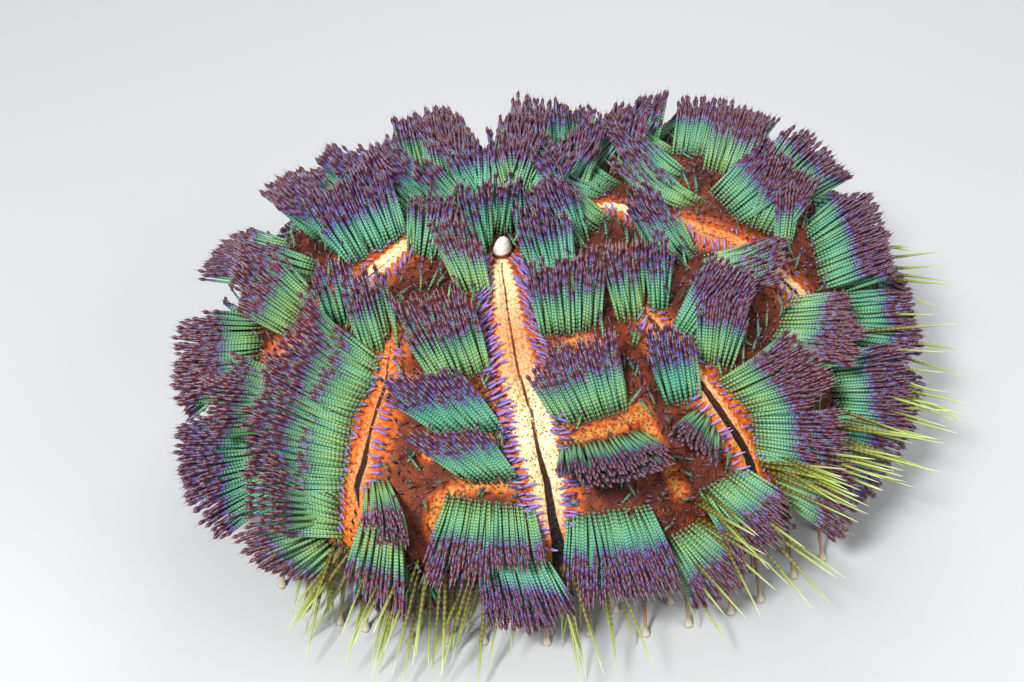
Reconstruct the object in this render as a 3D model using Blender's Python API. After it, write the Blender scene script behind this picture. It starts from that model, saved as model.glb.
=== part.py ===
"""Fire urchin, life size: a soft domed test in ten sectors, clad in combs of spines.

Metres, +Z up. The floor is z = 0, the viewer looks from -Y, and the origin is on the floor
under the middle of the whole animal. Azimuths are degrees round the body's axis, 0 towards
the viewer and growing to the viewer's right. Arcs are metres along the skin from the apex.
"""

import math
import random

import bmesh
import bpy
from mathutils import Vector

# Driving sizes of the test, which is a low dome with a flatter underside
HALF_WIDTH = 0.081
HALF_DEPTH = 0.076
WAIST_Z = 0.029
CROWN_RISE = 0.036
UNDERSIDE_DROP = 0.018
SIDE_ROUNDNESS = 0.86
TOP_ROUNDNESS = 0.98
LEAN_X = -0.39
LEAN_Y = 0.28

# The soft test is humped behind on the right, and swollen in front on the left and on the
# right. A swelling is its azimuth, its width in degrees and its share of the reach
HUMP_HEIGHT = 0.0165
HUMP_AZIMUTH = 118.0
HUMP_POLAR = 68.0
HUMP_WIDE = 34.0
HUMP_TALL = 26.0
SWELLINGS = ((-52.0, 34.0, 0.16), (110.0, 36.0, 0.12))
FURROW = 0.018
FURROW_WIDE = 0.22

# Sectors: name, left edge, furrow down the middle and right edge, as azimuths
SECTORS = (
    ("interambulacrum_front", -19.0, 3.0, 28.0),
    ("ambulacrum_front_right", 28.0, 45.0, 66.0),
    ("interambulacrum_right", 66.0, 89.0, 112.0),
    ("ambulacrum_back_right", 112.0, 127.0, 142.0),
    ("interambulacrum_back_right", 142.0, 158.0, 174.0),
    ("ambulacrum_back", 174.0, 191.0, 208.0),
    ("interambulacrum_back_left", 208.0, 225.0, 242.0),
    ("ambulacrum_left", 242.0, 257.0, 272.0),
    ("interambulacrum_left", 272.0, 293.0, 311.0),
    ("ambulacrum_front_left", 311.0, 323.0, 341.0),
)
HALF_GAP = 0.00018
WALL_MARGIN = 0.00025
SURFACE_STEPS = 13

# Apical disc, mouth skin and teeth
DISC_RADIUS = 0.011
DISC_SEAT_Z = 0.0615
MOUTH_RADIUS = 0.018
MOUTH_SEAT_Z = 0.0150
GAP = 0.0004
DISC_SIDES = 28
DISC_CROWN = 0.55
PAPILLA_RING = 0.0085
PAPILLA_RADIUS = 0.0013
PAPILLA_TAPER = 0.7
PAPILLA_HEIGHT = 0.0026
PAPILLA_TIP = 0.001
PAPILLA_SINK = 0.001
PAPILLA_SIDES = 6
MOUTH_FOLD = 0.6
PIT_RADIUS = 0.0045
PIT_Z = 0.0134
TOOTH_COUNT = 5
TOOTH_ROOT_Z = 0.0130
TOOTH_TIP_Z = 0.0068
TOOTH_ROOT = (0.0010, 0.0036, 0.00035, 0.0013)
TOOTH_TIP = (0.0006, 0.0012, 0.00018, 0.0003)

# Comb spines: a shaft, the swollen sac near its end and a needle point. The pitch along a
# comb, the stagger between its two ranks and the least arc of a root are in mm
SPINE_LENGTH = 0.0175
SPINE_SINK = 0.0026
SPINE_SIDES = 3
SHAFT_RADIUS = 0.00066
SAC_RADIUS = 0.00084
SAC_PLACE = 0.76
SPINE_PITCH = 3.3
STAGGER = 4.2
LEAST_ROOT_ARC = 14.5

# A comb opens out from one end to the other by its fan. The spreads are how far one spine
# differs from the next, in degrees, in shares of its length and in metres of clearance
FAN = 20.0
TURN_SPREAD = 2.0
LEAN_SPREAD = 4.0
LENGTH_SPREAD = (0.93, 1.06)
MARGIN_SPREAD = 0.0005
SEED = 11

# Long pointed spines round the rim
RIM_ARC = 0.101
RIM_LENGTH = 0.030
RIM_RADIUS = 0.00070
RIM_TILT = 34.0
RIM_SPINES = 6
RIM_WAIST = 0.55
RIM_WAIST_RADIUS = 0.00063
RIM_PLACE_SPREAD = 0.6
RIM_ARC_SPREAD = (-0.003, 0.005)
RIM_TURN_SPREAD = 10.0
RIM_TILT_SPREAD = 8.0
RIM_LENGTH_SPREAD = (0.85, 1.08)
LEAST_Z = 0.0016

# Walking spines under the body, in three rows from the rim to the mouth: arc, how far
# the foot stands outside the root, and how many a sector has
HOOF_ROWS = ((0.117, 0.0050, 3), (0.134, 0.0035, 2), (0.150, 0.0020, 2))
HOOF_RADIUS = 0.0013
HOOF_NECK = 0.00055
HOOF_NECK_Z = 0.0018
ORAL_RADIUS = 0.00065

# Combs that show from the front: azimuth, arc in mm, heading in degrees from the apex
# direction towards growing azimuth, width in mm, tilt in degrees from upright, and how far
# the line of roots is turned from square to the heading
FRONT_COMBS = (
    (-14, 16, -42, 6, 38, 30),
    (-13, 30, -45, 10, 48, 50),
    (-13, 56, -31, 14, 52, 12),
    (-10, 70, -50, 16, 58, 42),
    (-7, 81, -44, 13, 60, 42),
    (-8, 86, -167, 20, 60, -8),
    (-7, 97, 175, 16, 54, 18),
    (24, 26, -6, 10, 48, -6),
    (22, 45, 14, 15, 44, -6),
    (17, 69, -7, 18, 58, 6),
    (17, 74, -164, 20, 38, -12),
    (12, 91, -166, 22, 58, -6),
    (24, 101, 172, 10, 44, 0),
)
FRONT_LEFT_COMBS = (
    (-35, 55, -43, 9, 45, -7),
    (-28, 85, 150, 7, 48, 20),
    (-28, 96, -172, 12, 52, 6),
    (-30, 106, -178, 14, 46, 16),
    (-32, 64, -88, 15, 56, 5),
    (-33, 80, -98, 21, 58, 0),
    (-34, 98, -75, 12, 54, -12),
    (-39, 107, -105, 10, 48, 0),
    (-48, 75, -136, 12, 50, -4),
)
LEFT_COMBS = (
    (-56, 25, -38, 10, 38, 5),
    (-50, 55, -48, 10, 42, -20),
    (-49, 93, -124, 16, 42, -2),
    (-61, 59, -122, 14, 41, 4),
    (-63, 92, 170, 14, 42, 16),
    (-64, 72, -166, 20, 46, 12),
    (-74, 34, -112, 18, 42, 6),
    (-74, 52, -172, 13, 46, 16),
    (-82, 86, 178, 14, 48, 0),
    (-76, 102, 180, 16, 44, 0),
    (-103, 24, -170, 9, 40, 0),
    (-97, 42, -165, 12, 45, 0),
    (-94, 62, -170, 14, 48, 0),
    (-97, 80, 176, 16, 50, 0),
    (-111, 52, -160, 13, 45, 0),
    (-111, 74, -172, 17, 50, 0),
    (-103, 97, 180, 24, 46, 0),
)
FRONT_RIGHT_COMBS = (
    (64, 21, 22, 10, 44, 14),
    (44, 49, 24, 9, 43, 2),
    (53, 51, 34, 5, 45, -16),
    (38, 74, 12, 11, 55, 4),
    (41, 80, -108, 9, 56, -14),
    (35, 94, 174, 14, 54, 4),
    (50, 61, 82, 11, 44, -2),
    (50, 71, 41, 9, 47, 14),
    (48, 80, 103, 13, 46, -18),
    (46, 90, 132, 12, 50, -8),
    (46, 101, 136, 12, 44, -28),
    (61, 106, 150, 13, 46, 0),
)
RIGHT_COMBS = (
    (68, 98, 136, 15, 36, -12),
    (71, 78, 168, 19, 54, 12),
    (75, 54, 166, 13, 64, 14),
    (80, 50, 12, 9, 56, 16),
    (91, 27, 8, 8, 58, 32),
    (84, 99, 160, 19, 40, 0),
    (78, 108, 172, 14, 44, 0),
    (91, 76, 70, 7, 42, -28),
    (95, 70, 127, 10, 38, -6),
    (104, 62, 174, 14, 47, -10),
    (92, 85, 146, 19, 38, 20),
    (106, 53, 28, 10, 70, 46),
    (103, 102, 176, 18, 44, 0),
    (123, 34, 42, 13, 70, 24),
    (120, 55, 52, 11, 60, 14),
    (132, 59, 54, 13, 52, 24),
    (110, 80, 158, 14, 44, 0),
    (124, 74, 150, 13, 45, 0),
    (120, 92, 166, 15, 46, 0),
    (134, 80, 168, 14, 45, 0),
    (134, 97, 176, 15, 46, 0),
    (120, 107, 178, 14, 42, 0),
)

# Combs behind follow one rule: arc in mm, width in mm and tilt, in two columns a sector
BACK_SECTORS = ("interambulacrum_back_right", "ambulacrum_back", "interambulacrum_back_left")
BACK_ROWS = (
    (24, 6, 42),
    (40, 10, 46),
    (56, 12, 48),
    (72, 15, 50),
    (88, 16, 52),
    (103, 16, 44),
)
BACK_HEADING = 152.0

# Steps in degrees, for measuring along the skin and for finding its slope
ARC_STEP = 1.0
PROBE = 0.4


def turn(angle):
    """An angle in degrees brought between -180 and 180."""
    return (angle + 180.0) % 360.0 - 180.0


def axis_at(height):
    """The point of the leaning body axis at this height."""
    rise = height - WAIST_Z
    return Vector((LEAN_X * rise, LEAN_Y * rise, height))


def outward(azimuth):
    """The level direction away from the axis at this azimuth."""
    angle = math.radians(azimuth)
    return Vector((math.sin(angle), -math.cos(angle), 0.0))


def furrow_depth(azimuth):
    """How far the skin sinks at a sector's middle and edges, from 0 to 1."""
    for _, left, middle, right in SECTORS:
        place = (azimuth - left) % 360.0
        if place <= right - left:
            half = middle - left if place < middle - left else right - middle
            share = abs(place - (middle - left)) / half
            return max(0.0, 1.0 - min(share, 1.0 - share) / FURROW_WIDE)
    return 0.0


def reach(azimuth):
    """The greatest distance of the skin from the axis at this azimuth."""
    angle = math.radians(azimuth)
    oval = 1.0 / math.hypot(math.sin(angle) / HALF_WIDTH, math.cos(angle) / HALF_DEPTH)
    swell = 0.0
    for place, wide, rise in SWELLINGS:
        swell += rise * math.exp(-(turn(azimuth - place) / wide) ** 2)
    return oval * (1.0 + swell) * (1.0 - FURROW * furrow_depth(azimuth))


def skin_height(azimuth, polar):
    """The height of the skin at a polar angle, 0 at the apex and 180 at the mouth."""
    level = math.cos(math.radians(polar))
    tall = CROWN_RISE if level > 0.0 else UNDERSIDE_DROP
    dome = math.copysign(abs(level) ** TOP_ROUNDNESS, level) * tall
    away = turn(azimuth - HUMP_AZIMUTH) / HUMP_WIDE
    above = (polar - HUMP_POLAR) / HUMP_TALL
    return WAIST_Z + dome + HUMP_HEIGHT * math.exp(-away * away - above * above)


def skin_point(azimuth, polar):
    """The point of the skin at this azimuth and polar angle."""
    ring = abs(math.sin(math.radians(polar))) ** SIDE_ROUNDNESS
    return axis_at(skin_height(azimuth, polar)) + outward(azimuth) * reach(azimuth) * ring


def polar_at_radius(azimuth, radius):
    """The polar angle above the waist where the skin is this far from the axis."""
    return math.degrees(math.asin((radius / reach(azimuth)) ** (1.0 / SIDE_ROUNDNESS)))


def polar_at_arc(azimuth, arc):
    """The polar angle at this arc from the apex."""
    polar = 0.0
    here = skin_point(azimuth, polar)
    while polar < 180.0:
        there = skin_point(azimuth, polar + ARC_STEP)
        step = (there - here).length
        if step >= arc:
            return polar + ARC_STEP * arc / step
        arc -= step
        polar += ARC_STEP
        here = there
    return polar


def skin_frame(azimuth, arc):
    """A point of the skin, its normal, and the directions to the apex and sideways."""
    polar = polar_at_arc(azimuth, arc)
    point = skin_point(azimuth, polar)
    to_apex = (skin_point(azimuth, polar - PROBE) - skin_point(azimuth, polar + PROBE)).normalized()
    side = (skin_point(azimuth + PROBE, polar) - skin_point(azimuth - PROBE, polar)).normalized()
    normal = side.cross(to_apex).normalized()
    return point, normal, to_apex, side


def wall_shift(point, azimuth, inward, clearance):
    """How far a point has to move along inward to stand clear of the wall at azimuth."""
    from_axis = point - axis_at(point.z)
    across = outward(azimuth + 90.0) * inward
    return across * max(0.0, clearance - from_axis.dot(across))


def kept_inside(sector, point, clearance):
    """The point, moved level so that it stands inside the sector's two walls."""
    _, left, _, right = sector
    point = point + wall_shift(point, left, 1.0, clearance)
    point = point + wall_shift(point, right, -1.0, clearance)
    return point + wall_shift(point, left, 1.0, clearance)


def kept_clear(sector, point, clearance):
    """The point, moved level so that it stands inside the walls and clear of the apical disc."""
    point = kept_inside(sector, point, clearance)
    level = point - axis_at(point.z)
    short = DISC_RADIUS + clearance - level.length
    return point + level.normalized() * max(0.0, short)


def new_object(name, points, faces):
    """A mesh object with outward normals."""
    mesh = bpy.data.meshes.new(name)
    mesh.from_pydata([tuple(point) for point in points], [], faces)
    build = bmesh.new()
    build.from_mesh(mesh)
    bmesh.ops.remove_doubles(build, verts=build.verts, dist=1e-6)
    bmesh.ops.triangulate(build, faces=build.faces)
    bmesh.ops.recalc_face_normals(build, faces=build.faces)
    build.to_mesh(mesh)
    build.free()
    piece = bpy.data.objects.new(name, mesh)
    bpy.context.scene.collection.objects.link(piece)
    return piece


def lofted(name, rings, closed_tip=None):
    """A closed skin over rings of equal count, ending in a flat cap or in one tip point."""
    count = len(rings[0])
    points = [point for ring in rings for point in ring]
    faces = [tuple(reversed(range(count)))]
    for level in range(len(rings) - 1):
        low = level * count
        for step in range(count):
            after = (step + 1) % count
            faces.append((low + step, low + after, low + count + after, low + count + step))
    last = (len(rings) - 1) * count
    if closed_tip is None:
        faces.append(tuple(range(last, last + count)))
    else:
        points.append(closed_tip)
        tip = len(points) - 1
        faces += [(last + step, last + (step + 1) % count, tip) for step in range(count)]
    return new_object(name, points, faces)


def sector_profile(azimuth):
    """Distance from the axis and height along one upright section of a sector."""
    top = polar_at_radius(azimuth, DISC_RADIUS)
    bottom = 180.0 - polar_at_radius(azimuth, MOUTH_RADIUS)
    profile = [(0.0, DISC_SEAT_Z), (DISC_RADIUS, DISC_SEAT_Z)]
    for step in range(SURFACE_STEPS):
        polar = top + (bottom - top) * step / (SURFACE_STEPS - 1)
        ring = abs(math.sin(math.radians(polar))) ** SIDE_ROUNDNESS
        profile.append((reach(azimuth) * ring, skin_height(azimuth, polar)))
    return profile + [(MOUTH_RADIUS, MOUTH_SEAT_Z), (0.0, MOUTH_SEAT_Z)]


def sector_azimuths(sector):
    """Azimuths of a sector's upright sections, from wall to wall through its furrow."""
    _, left, middle, right = sector
    return (
        left,
        (2 * left + middle) / 3,
        (left + 2 * middle) / 3,
        middle,
        (2 * middle + right) / 3,
        (middle + 2 * right) / 3,
        right,
    )


def sector_body(sector):
    """The solid of one sector, from its surface in to the axis."""
    rings = []
    for azimuth in sector_azimuths(sector):
        ring = []
        for distance, height in sector_profile(azimuth):
            point = axis_at(height) + outward(azimuth) * distance
            ring.append(kept_inside(sector, point, HALF_GAP))
        rings.append(ring)
    return lofted(sector[0], rings)


def root_on_skin(azimuth, arc, along, across, heading, skew):
    """Azimuth and arc of a root this far along a heading and along a comb's line of roots.

    The arc that comes in and the two distances are in mm, and the arc that goes out is in m.
    """
    ahead = math.radians(heading)
    aside = math.radians(heading + skew)
    up = along * math.cos(ahead) - across * math.sin(aside)
    sideways = along * math.sin(ahead) + across * math.cos(aside)
    polar = polar_at_arc(azimuth, arc * 0.001)
    waist = 1000.0 * reach(azimuth) * math.sin(math.radians(polar))
    place = max(arc - up, LEAST_ROOT_ARC) * 0.001
    return azimuth + math.degrees(sideways / waist), place


def spine_line(azimuth, arc, heading, tilt):
    """Where a spine leaves the skin and its direction."""
    point, normal, to_apex, side = skin_frame(azimuth, arc)
    turned = math.radians(heading)
    lying = to_apex * math.cos(turned) + side * math.sin(turned)
    leaned = math.radians(tilt)
    return point, normal * math.cos(leaned) + lying * math.sin(leaned)


def combs_of(sector):
    """The combs rooted in one sector."""
    name, left, middle, right = sector
    if name in BACK_SECTORS:
        rows = []
        for arc, width, tilt in BACK_ROWS:
            rows.append(((left + middle) / 2, arc, -BACK_HEADING, width, tilt, 0))
            rows.append(((middle + right) / 2, arc, BACK_HEADING, width, tilt, 0))
        return rows
    seen = FRONT_COMBS + FRONT_LEFT_COMBS + LEFT_COMBS + FRONT_RIGHT_COMBS + RIGHT_COMBS
    return [comb for comb in seen if (comb[0] - left) % 360.0 < right - left]


def ring_about(centre, direction, radius, sides):
    """Points of a regular ring about a line."""
    first = direction.orthogonal().normalized()
    second = direction.cross(first).normalized()
    ring = []
    for step in range(sides):
        angle = math.tau * step / sides
        ring.append(centre + first * radius * math.cos(angle) + second * radius * math.sin(angle))
    return ring


def pointed_spine(sector, foot, direction, length, stations, margin):
    """A closed spine from its sunk root through stations of share and radius to its point."""
    rings = []
    for share, radius in stations:
        run = share * length - (SPINE_SINK if share == 0.0 else 0.0)
        centre = kept_clear(sector, foot + direction * run, margin + radius)
        centre.z = max(centre.z, LEAST_Z)
        rings.append(ring_about(centre, direction, radius, SPINE_SIDES))
    tip = kept_clear(sector, foot + direction * length, margin)
    tip.z = max(tip.z, LEAST_Z)
    return lofted("spine", rings, tip)


def spare_margin(draw):
    """A clearance that differs a little from spine to spine, so that no two faces coincide."""
    return HALF_GAP + WALL_MARGIN + draw.uniform(0.0, MARGIN_SPREAD)


def comb_spines(sector, comb, draw):
    """The spines of one comb, in two staggered ranks across its width."""
    azimuth, arc, heading, width, tilt, skew = comb
    count = max(3, round(width / SPINE_PITCH))
    stations = ((0.0, SHAFT_RADIUS), (SAC_PLACE, SAC_RADIUS))
    pieces = []
    for step in range(count):
        share = (step + 0.5) / count - 0.5
        along = STAGGER * (step % 2)
        place = root_on_skin(azimuth, arc, along, share * width, heading, skew)
        turned = heading + FAN * share + draw.uniform(-TURN_SPREAD, TURN_SPREAD)
        leaned = tilt + draw.uniform(-LEAN_SPREAD, LEAN_SPREAD)
        foot, direction = spine_line(*place, turned, leaned)
        length = SPINE_LENGTH * draw.uniform(*LENGTH_SPREAD)
        margin = spare_margin(draw)
        pieces.append(pointed_spine(sector, foot, direction, length, stations, margin))
    return pieces


def rim_spines(sector, draw):
    """Long pointed spines under the rim, reaching out and down."""
    _, left, _, right = sector
    stations = ((0.0, RIM_RADIUS), (RIM_WAIST, RIM_WAIST_RADIUS))
    pieces = []
    for step in range(RIM_SPINES):
        azimuth = left + (right - left) * (step + 0.5) / RIM_SPINES
        azimuth += draw.uniform(-RIM_PLACE_SPREAD, RIM_PLACE_SPREAD)
        arc = RIM_ARC + draw.uniform(*RIM_ARC_SPREAD)
        turned = 180.0 + draw.uniform(-RIM_TURN_SPREAD, RIM_TURN_SPREAD)
        leaned = RIM_TILT + draw.uniform(-RIM_TILT_SPREAD, RIM_TILT_SPREAD)
        foot, direction = spine_line(azimuth, arc, turned, leaned)
        length = RIM_LENGTH * draw.uniform(*RIM_LENGTH_SPREAD)
        margin = spare_margin(draw)
        pieces.append(pointed_spine(sector, foot, direction, length, stations, margin))
    return pieces


def level_square(centre, radius):
    """Four corners of a level square about a centre."""
    return [
        centre + Vector((radius * math.cos(angle), radius * math.sin(angle), 0.0))
        for angle in (math.pi * (step + 0.5) / 2 for step in range(4))
    ]


def hoofed_spine(sector, azimuth, arc, spread):
    """A walking spine that ends in a flared hoof, flat on the floor."""
    point, normal, _, _ = skin_frame(azimuth, arc)
    foot = point + outward(azimuth) * spread
    foot.z = 0.0
    shin = (foot - point).normalized()
    neck = foot - shin * HOOF_NECK_Z / abs(shin.z)
    stations = (
        (point - normal * SPINE_SINK, ORAL_RADIUS),
        (neck, HOOF_NECK),
        (foot, HOOF_RADIUS),
    )
    rings = []
    for centre, radius in stations:
        inside = kept_clear(sector, centre, HALF_GAP + WALL_MARGIN + radius)
        rings.append(level_square(inside, radius))
    return lofted("hoof", rings)


def oral_spines(sector):
    """The walking spines of one sector, in rows from the rim to the mouth."""
    _, left, _, right = sector
    pieces = []
    for arc, spread, count in HOOF_ROWS:
        for step in range(count):
            azimuth = left + (right - left) * (step + 0.5) / count
            pieces.append(hoofed_spine(sector, azimuth, arc, spread))
    return pieces


def keep_largest(piece):
    """Keeps only the largest closed surface of a mesh."""
    build = bmesh.new()
    build.from_mesh(piece.data)
    left_over = set(build.faces)
    shells = []
    while left_over:
        shell = {left_over.pop()}
        edge = list(shell)
        while edge:
            face = edge.pop()
            near = {other for line in face.edges for other in line.link_faces} & left_over
            left_over -= near
            shell |= near
            edge += near
        shells.append(shell)
    shells.sort(key=lambda shell: sum(face.calc_area() for face in shell))
    scraps = [face for shell in shells[:-1] for face in shell]
    bmesh.ops.delete(build, geom=scraps, context="FACES")
    build.to_mesh(piece.data)
    build.free()


def join(body, pieces):
    """Joins closed pieces to a body in one union and removes them."""
    if not pieces:
        return body
    parts = bpy.data.collections.new(f"{body.name}_parts")
    bpy.context.scene.collection.children.link(parts)
    for piece in pieces:
        bpy.context.scene.collection.objects.unlink(piece)
        parts.objects.link(piece)
    union = body.modifiers.new("union", "BOOLEAN")
    union.operation = "UNION"
    union.operand_type = "COLLECTION"
    union.collection = parts
    union.solver = "EXACT"
    bpy.context.view_layer.update()
    graph = bpy.context.evaluated_depsgraph_get()
    joined = bpy.data.meshes.new_from_object(body.evaluated_get(graph))
    body.modifiers.remove(union)
    body.data = joined
    for piece in pieces:
        bpy.data.objects.remove(piece)
    bpy.data.collections.remove(parts)
    keep_largest(body)
    return body


def apical_disc():
    """The small plate at the apex, with one papilla towards each broad sector."""
    top = []
    for radius in (DISC_RADIUS - GAP, DISC_RADIUS * DISC_CROWN):
        ring = []
        for step in range(DISC_SIDES):
            azimuth = 360.0 * step / DISC_SIDES
            height = skin_height(azimuth, polar_at_radius(azimuth, radius))
            ring.append(axis_at(height) + outward(azimuth) * radius)
        top.append(ring)
    seat = axis_at(DISC_SEAT_Z + GAP)
    spread = DISC_RADIUS - GAP
    under = [seat + outward(360.0 * step / DISC_SIDES) * spread for step in range(DISC_SIDES)]
    disc = lofted("apical_disc", [under] + top, axis_at(skin_height(0.0, 0.0)))
    papillae = []
    for name, _, middle, _ in SECTORS[::2]:
        level = skin_height(middle, polar_at_radius(middle, PAPILLA_RING)) - PAPILLA_SINK
        foot = axis_at(level) + outward(middle) * PAPILLA_RING
        rise = Vector((0.0, 0.0, 1.0))
        shoulder = foot + rise * PAPILLA_HEIGHT
        rings = [
            ring_about(foot, rise, PAPILLA_RADIUS, PAPILLA_SIDES),
            ring_about(shoulder, rise, PAPILLA_RADIUS * PAPILLA_TAPER, PAPILLA_SIDES),
        ]
        papillae.append(lofted(f"papilla_{name}", rings, shoulder + rise * PAPILLA_TIP))
    return join(disc, papillae)


def peristome():
    """The skin round the mouth, with the pit that the teeth stand in."""
    rings = []
    levels = (
        (PIT_RADIUS, PIT_Z),
        (PIT_RADIUS, None),
        (MOUTH_RADIUS * MOUTH_FOLD, None),
        (MOUTH_RADIUS - GAP, None),
        (MOUTH_RADIUS - GAP, MOUTH_SEAT_Z - GAP),
    )
    for radius, height in levels:
        ring = []
        for step in range(DISC_SIDES):
            azimuth = 360.0 * step / DISC_SIDES
            level = height or skin_height(azimuth, 180.0 - polar_at_radius(azimuth, radius))
            ring.append(axis_at(level) + outward(azimuth) * radius)
        rings.append(ring)
    return lofted("peristome", rings)


def tooth(number):
    """One chisel-shaped tooth, pointing down from the mouth pit."""
    azimuth = 360.0 * number / TOOTH_COUNT
    away = outward(azimuth)
    across = outward(azimuth + 90.0)
    rings = []
    for height, (inner, outer, inner_half, outer_half) in (
        (TOOTH_ROOT_Z, TOOTH_ROOT),
        (TOOTH_TIP_Z, TOOTH_TIP),
    ):
        centre = axis_at(height)
        rings.append([
            centre + away * inner - across * inner_half,
            centre + away * inner + across * inner_half,
            centre + away * outer + across * outer_half,
            centre + away * outer - across * outer_half,
        ])
    return lofted(f"tooth_{number + 1}", rings)


def surface_material(name, colour, roughness):
    """A plain finish in one colour."""
    finish = bpy.data.materials.new(name)
    finish.use_nodes = True
    shader = finish.node_tree.nodes["Principled BSDF"]
    shader.inputs["Base Color"].default_value = (*colour, 1.0)
    shader.inputs["Roughness"].default_value = roughness
    shader.inputs["Metallic"].default_value = 0.0
    return finish


def centre_on_floor(nodes):
    """Moves the whole animal level so that the origin is under its middle."""
    corners = [vertex.co for node in nodes for vertex in node.data.vertices]
    middle_x = (min(c.x for c in corners) + max(c.x for c in corners)) / 2
    middle_y = (min(c.y for c in corners) + max(c.y for c in corners)) / 2
    for node in nodes:
        for vertex in node.data.vertices:
            vertex.co.x -= middle_x
            vertex.co.y -= middle_y


def main():
    """Builds every node of the animal."""
    for leftover in list(bpy.data.objects):
        bpy.data.objects.remove(leftover)
    green = surface_material("spined_skin", (0.12, 0.30, 0.20), 0.45)
    maroon = surface_material("bare_skin", (0.16, 0.05, 0.03), 0.5)
    ivory = surface_material("tooth", (0.85, 0.82, 0.75), 0.3)
    draw = random.Random(SEED)
    nodes = []
    for sector in SECTORS:
        body = sector_body(sector)
        pieces = [spine for comb in combs_of(sector) for spine in comb_spines(sector, comb, draw)]
        pieces += rim_spines(sector, draw)
        pieces += oral_spines(sector)
        join(body, pieces)
        body.data.materials.append(green)
        nodes.append(body)
    for node in (apical_disc(), peristome()):
        node.data.materials.append(maroon)
        nodes.append(node)
    for number in range(TOOTH_COUNT):
        node = tooth(number)
        node.data.materials.append(ivory)
        nodes.append(node)
    centre_on_floor(nodes)


main()
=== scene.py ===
"""Looks of the fire urchin: its skin, combs of banded spines, fringes, rim spines and mouth.

Metres, +Z up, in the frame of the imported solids. Azimuths are degrees round the body's axis,
0 towards the viewer and growing to the viewer's right. Arcs are distances along the skin
from the apex, in mm wherever a comb, strip or groove is placed.
"""

import math
from collections import namedtuple

import bmesh
import bpy
import numpy as np
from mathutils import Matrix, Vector


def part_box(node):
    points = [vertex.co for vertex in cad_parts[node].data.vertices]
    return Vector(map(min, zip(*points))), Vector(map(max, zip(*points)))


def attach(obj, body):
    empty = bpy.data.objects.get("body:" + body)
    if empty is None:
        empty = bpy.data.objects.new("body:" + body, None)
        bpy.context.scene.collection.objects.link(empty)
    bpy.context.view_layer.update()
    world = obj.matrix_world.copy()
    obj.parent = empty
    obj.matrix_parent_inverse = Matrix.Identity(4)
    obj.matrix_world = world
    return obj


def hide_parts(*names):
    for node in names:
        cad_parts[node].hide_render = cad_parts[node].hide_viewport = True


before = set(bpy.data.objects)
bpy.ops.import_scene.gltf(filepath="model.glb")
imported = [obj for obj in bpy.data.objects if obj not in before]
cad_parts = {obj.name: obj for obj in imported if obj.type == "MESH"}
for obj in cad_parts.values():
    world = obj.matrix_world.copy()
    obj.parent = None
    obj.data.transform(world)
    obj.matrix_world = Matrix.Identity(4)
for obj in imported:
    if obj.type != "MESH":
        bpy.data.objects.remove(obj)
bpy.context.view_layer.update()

# Sizes of the test, as in the solids
HALF_WIDTH = 0.081
HALF_DEPTH = 0.076
WAIST_Z = 0.029
CROWN_RISE = 0.036
UNDERSIDE_DROP = 0.018
SIDE_ROUNDNESS = 0.86
TOP_ROUNDNESS = 0.98
LEAN_X = -0.39
LEAN_Y = 0.28
HUMP_HEIGHT = 0.0165
HUMP_AZIMUTH = 118.0
HUMP_POLAR = 68.0
HUMP_WIDE = 34.0
HUMP_TALL = 26.0
SWELLINGS = ((-52.0, 34.0, 0.16), (110.0, 36.0, 0.12))
FURROW = 0.018
FURROW_WIDE = 0.22

# Sectors: name, left edge, furrow down the middle and right edge, as azimuths
SECTORS = (
    ("interambulacrum_front", -19.0, 3.0, 28.0),
    ("ambulacrum_front_right", 28.0, 45.0, 66.0),
    ("interambulacrum_right", 66.0, 89.0, 112.0),
    ("ambulacrum_back_right", 112.0, 127.0, 142.0),
    ("interambulacrum_back_right", 142.0, 158.0, 174.0),
    ("ambulacrum_back", 174.0, 191.0, 208.0),
    ("interambulacrum_back_left", 208.0, 225.0, 242.0),
    ("ambulacrum_left", 242.0, 257.0, 272.0),
    ("interambulacrum_left", 272.0, 293.0, 311.0),
    ("ambulacrum_front_left", 311.0, 323.0, 341.0),
)
MOUTH_RADIUS = 0.0176
MOUTH_SEAT_Z = 0.0146
PIT_RADIUS = 0.0045
PIT_Z = 0.0132

# Teeth: stations of height, and of their section's inner and outer distance from the axis
# and its half width, as in the solids. The section is fuller outside than inside
TOOTH_COUNT = 5
TOOTH_STATIONS = (
    (0.0130, 0.0010, 0.0036, 0.00105),
    (0.0112, 0.0010, 0.0032, 0.00098),
    (0.0092, 0.0009, 0.0025, 0.00080),
    (0.0078, 0.0008, 0.0018, 0.00055),
    (0.0068, 0.0007, 0.0012, 0.00028),
)
TOOTH_SIDES = 12
TOOTH_RINGS = 17
TOOTH_BACK = 0.62
TOOTH_KEEL = 0.38
TOOTH_WIDEST = 0.8
TOOTH_PATCH = 0.9

# The camera looks down on the animal's front
CAMERA_LENS = 50.0
CAMERA_DISTANCE = 0.395
CAMERA_ELEVATION = 40.0
CAMERA_TARGET_Z = 0.025
CAMERA_CLIP = 0.01
IMAGE_WIDTH = 1024.0
SHIFT_RIGHT_PIXELS = 44.0
SHIFT_DOWN_PIXELS = 22.0

# The floor, the light from all round, and the lamps: name, place, size and power
FLOOR_HALF = 3.0
SKY_COLOUR = (0.9, 0.95, 1.0, 1.0)
SKY_STRENGTH = 0.36
LAMPS = (
    ("key", (-0.30, -0.55, 0.75), 0.16, 11.0),
    ("fill", (0.75, -0.35, 0.55), 0.6, 3.5),
    ("back", (0.1, 0.7, 0.6), 0.5, 3.0),
)
LAMP_TARGET_Z = 0.03

# A millimetre in metres, and how many make a metre
MM = 0.001
PER_METRE = 1000.0

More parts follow.
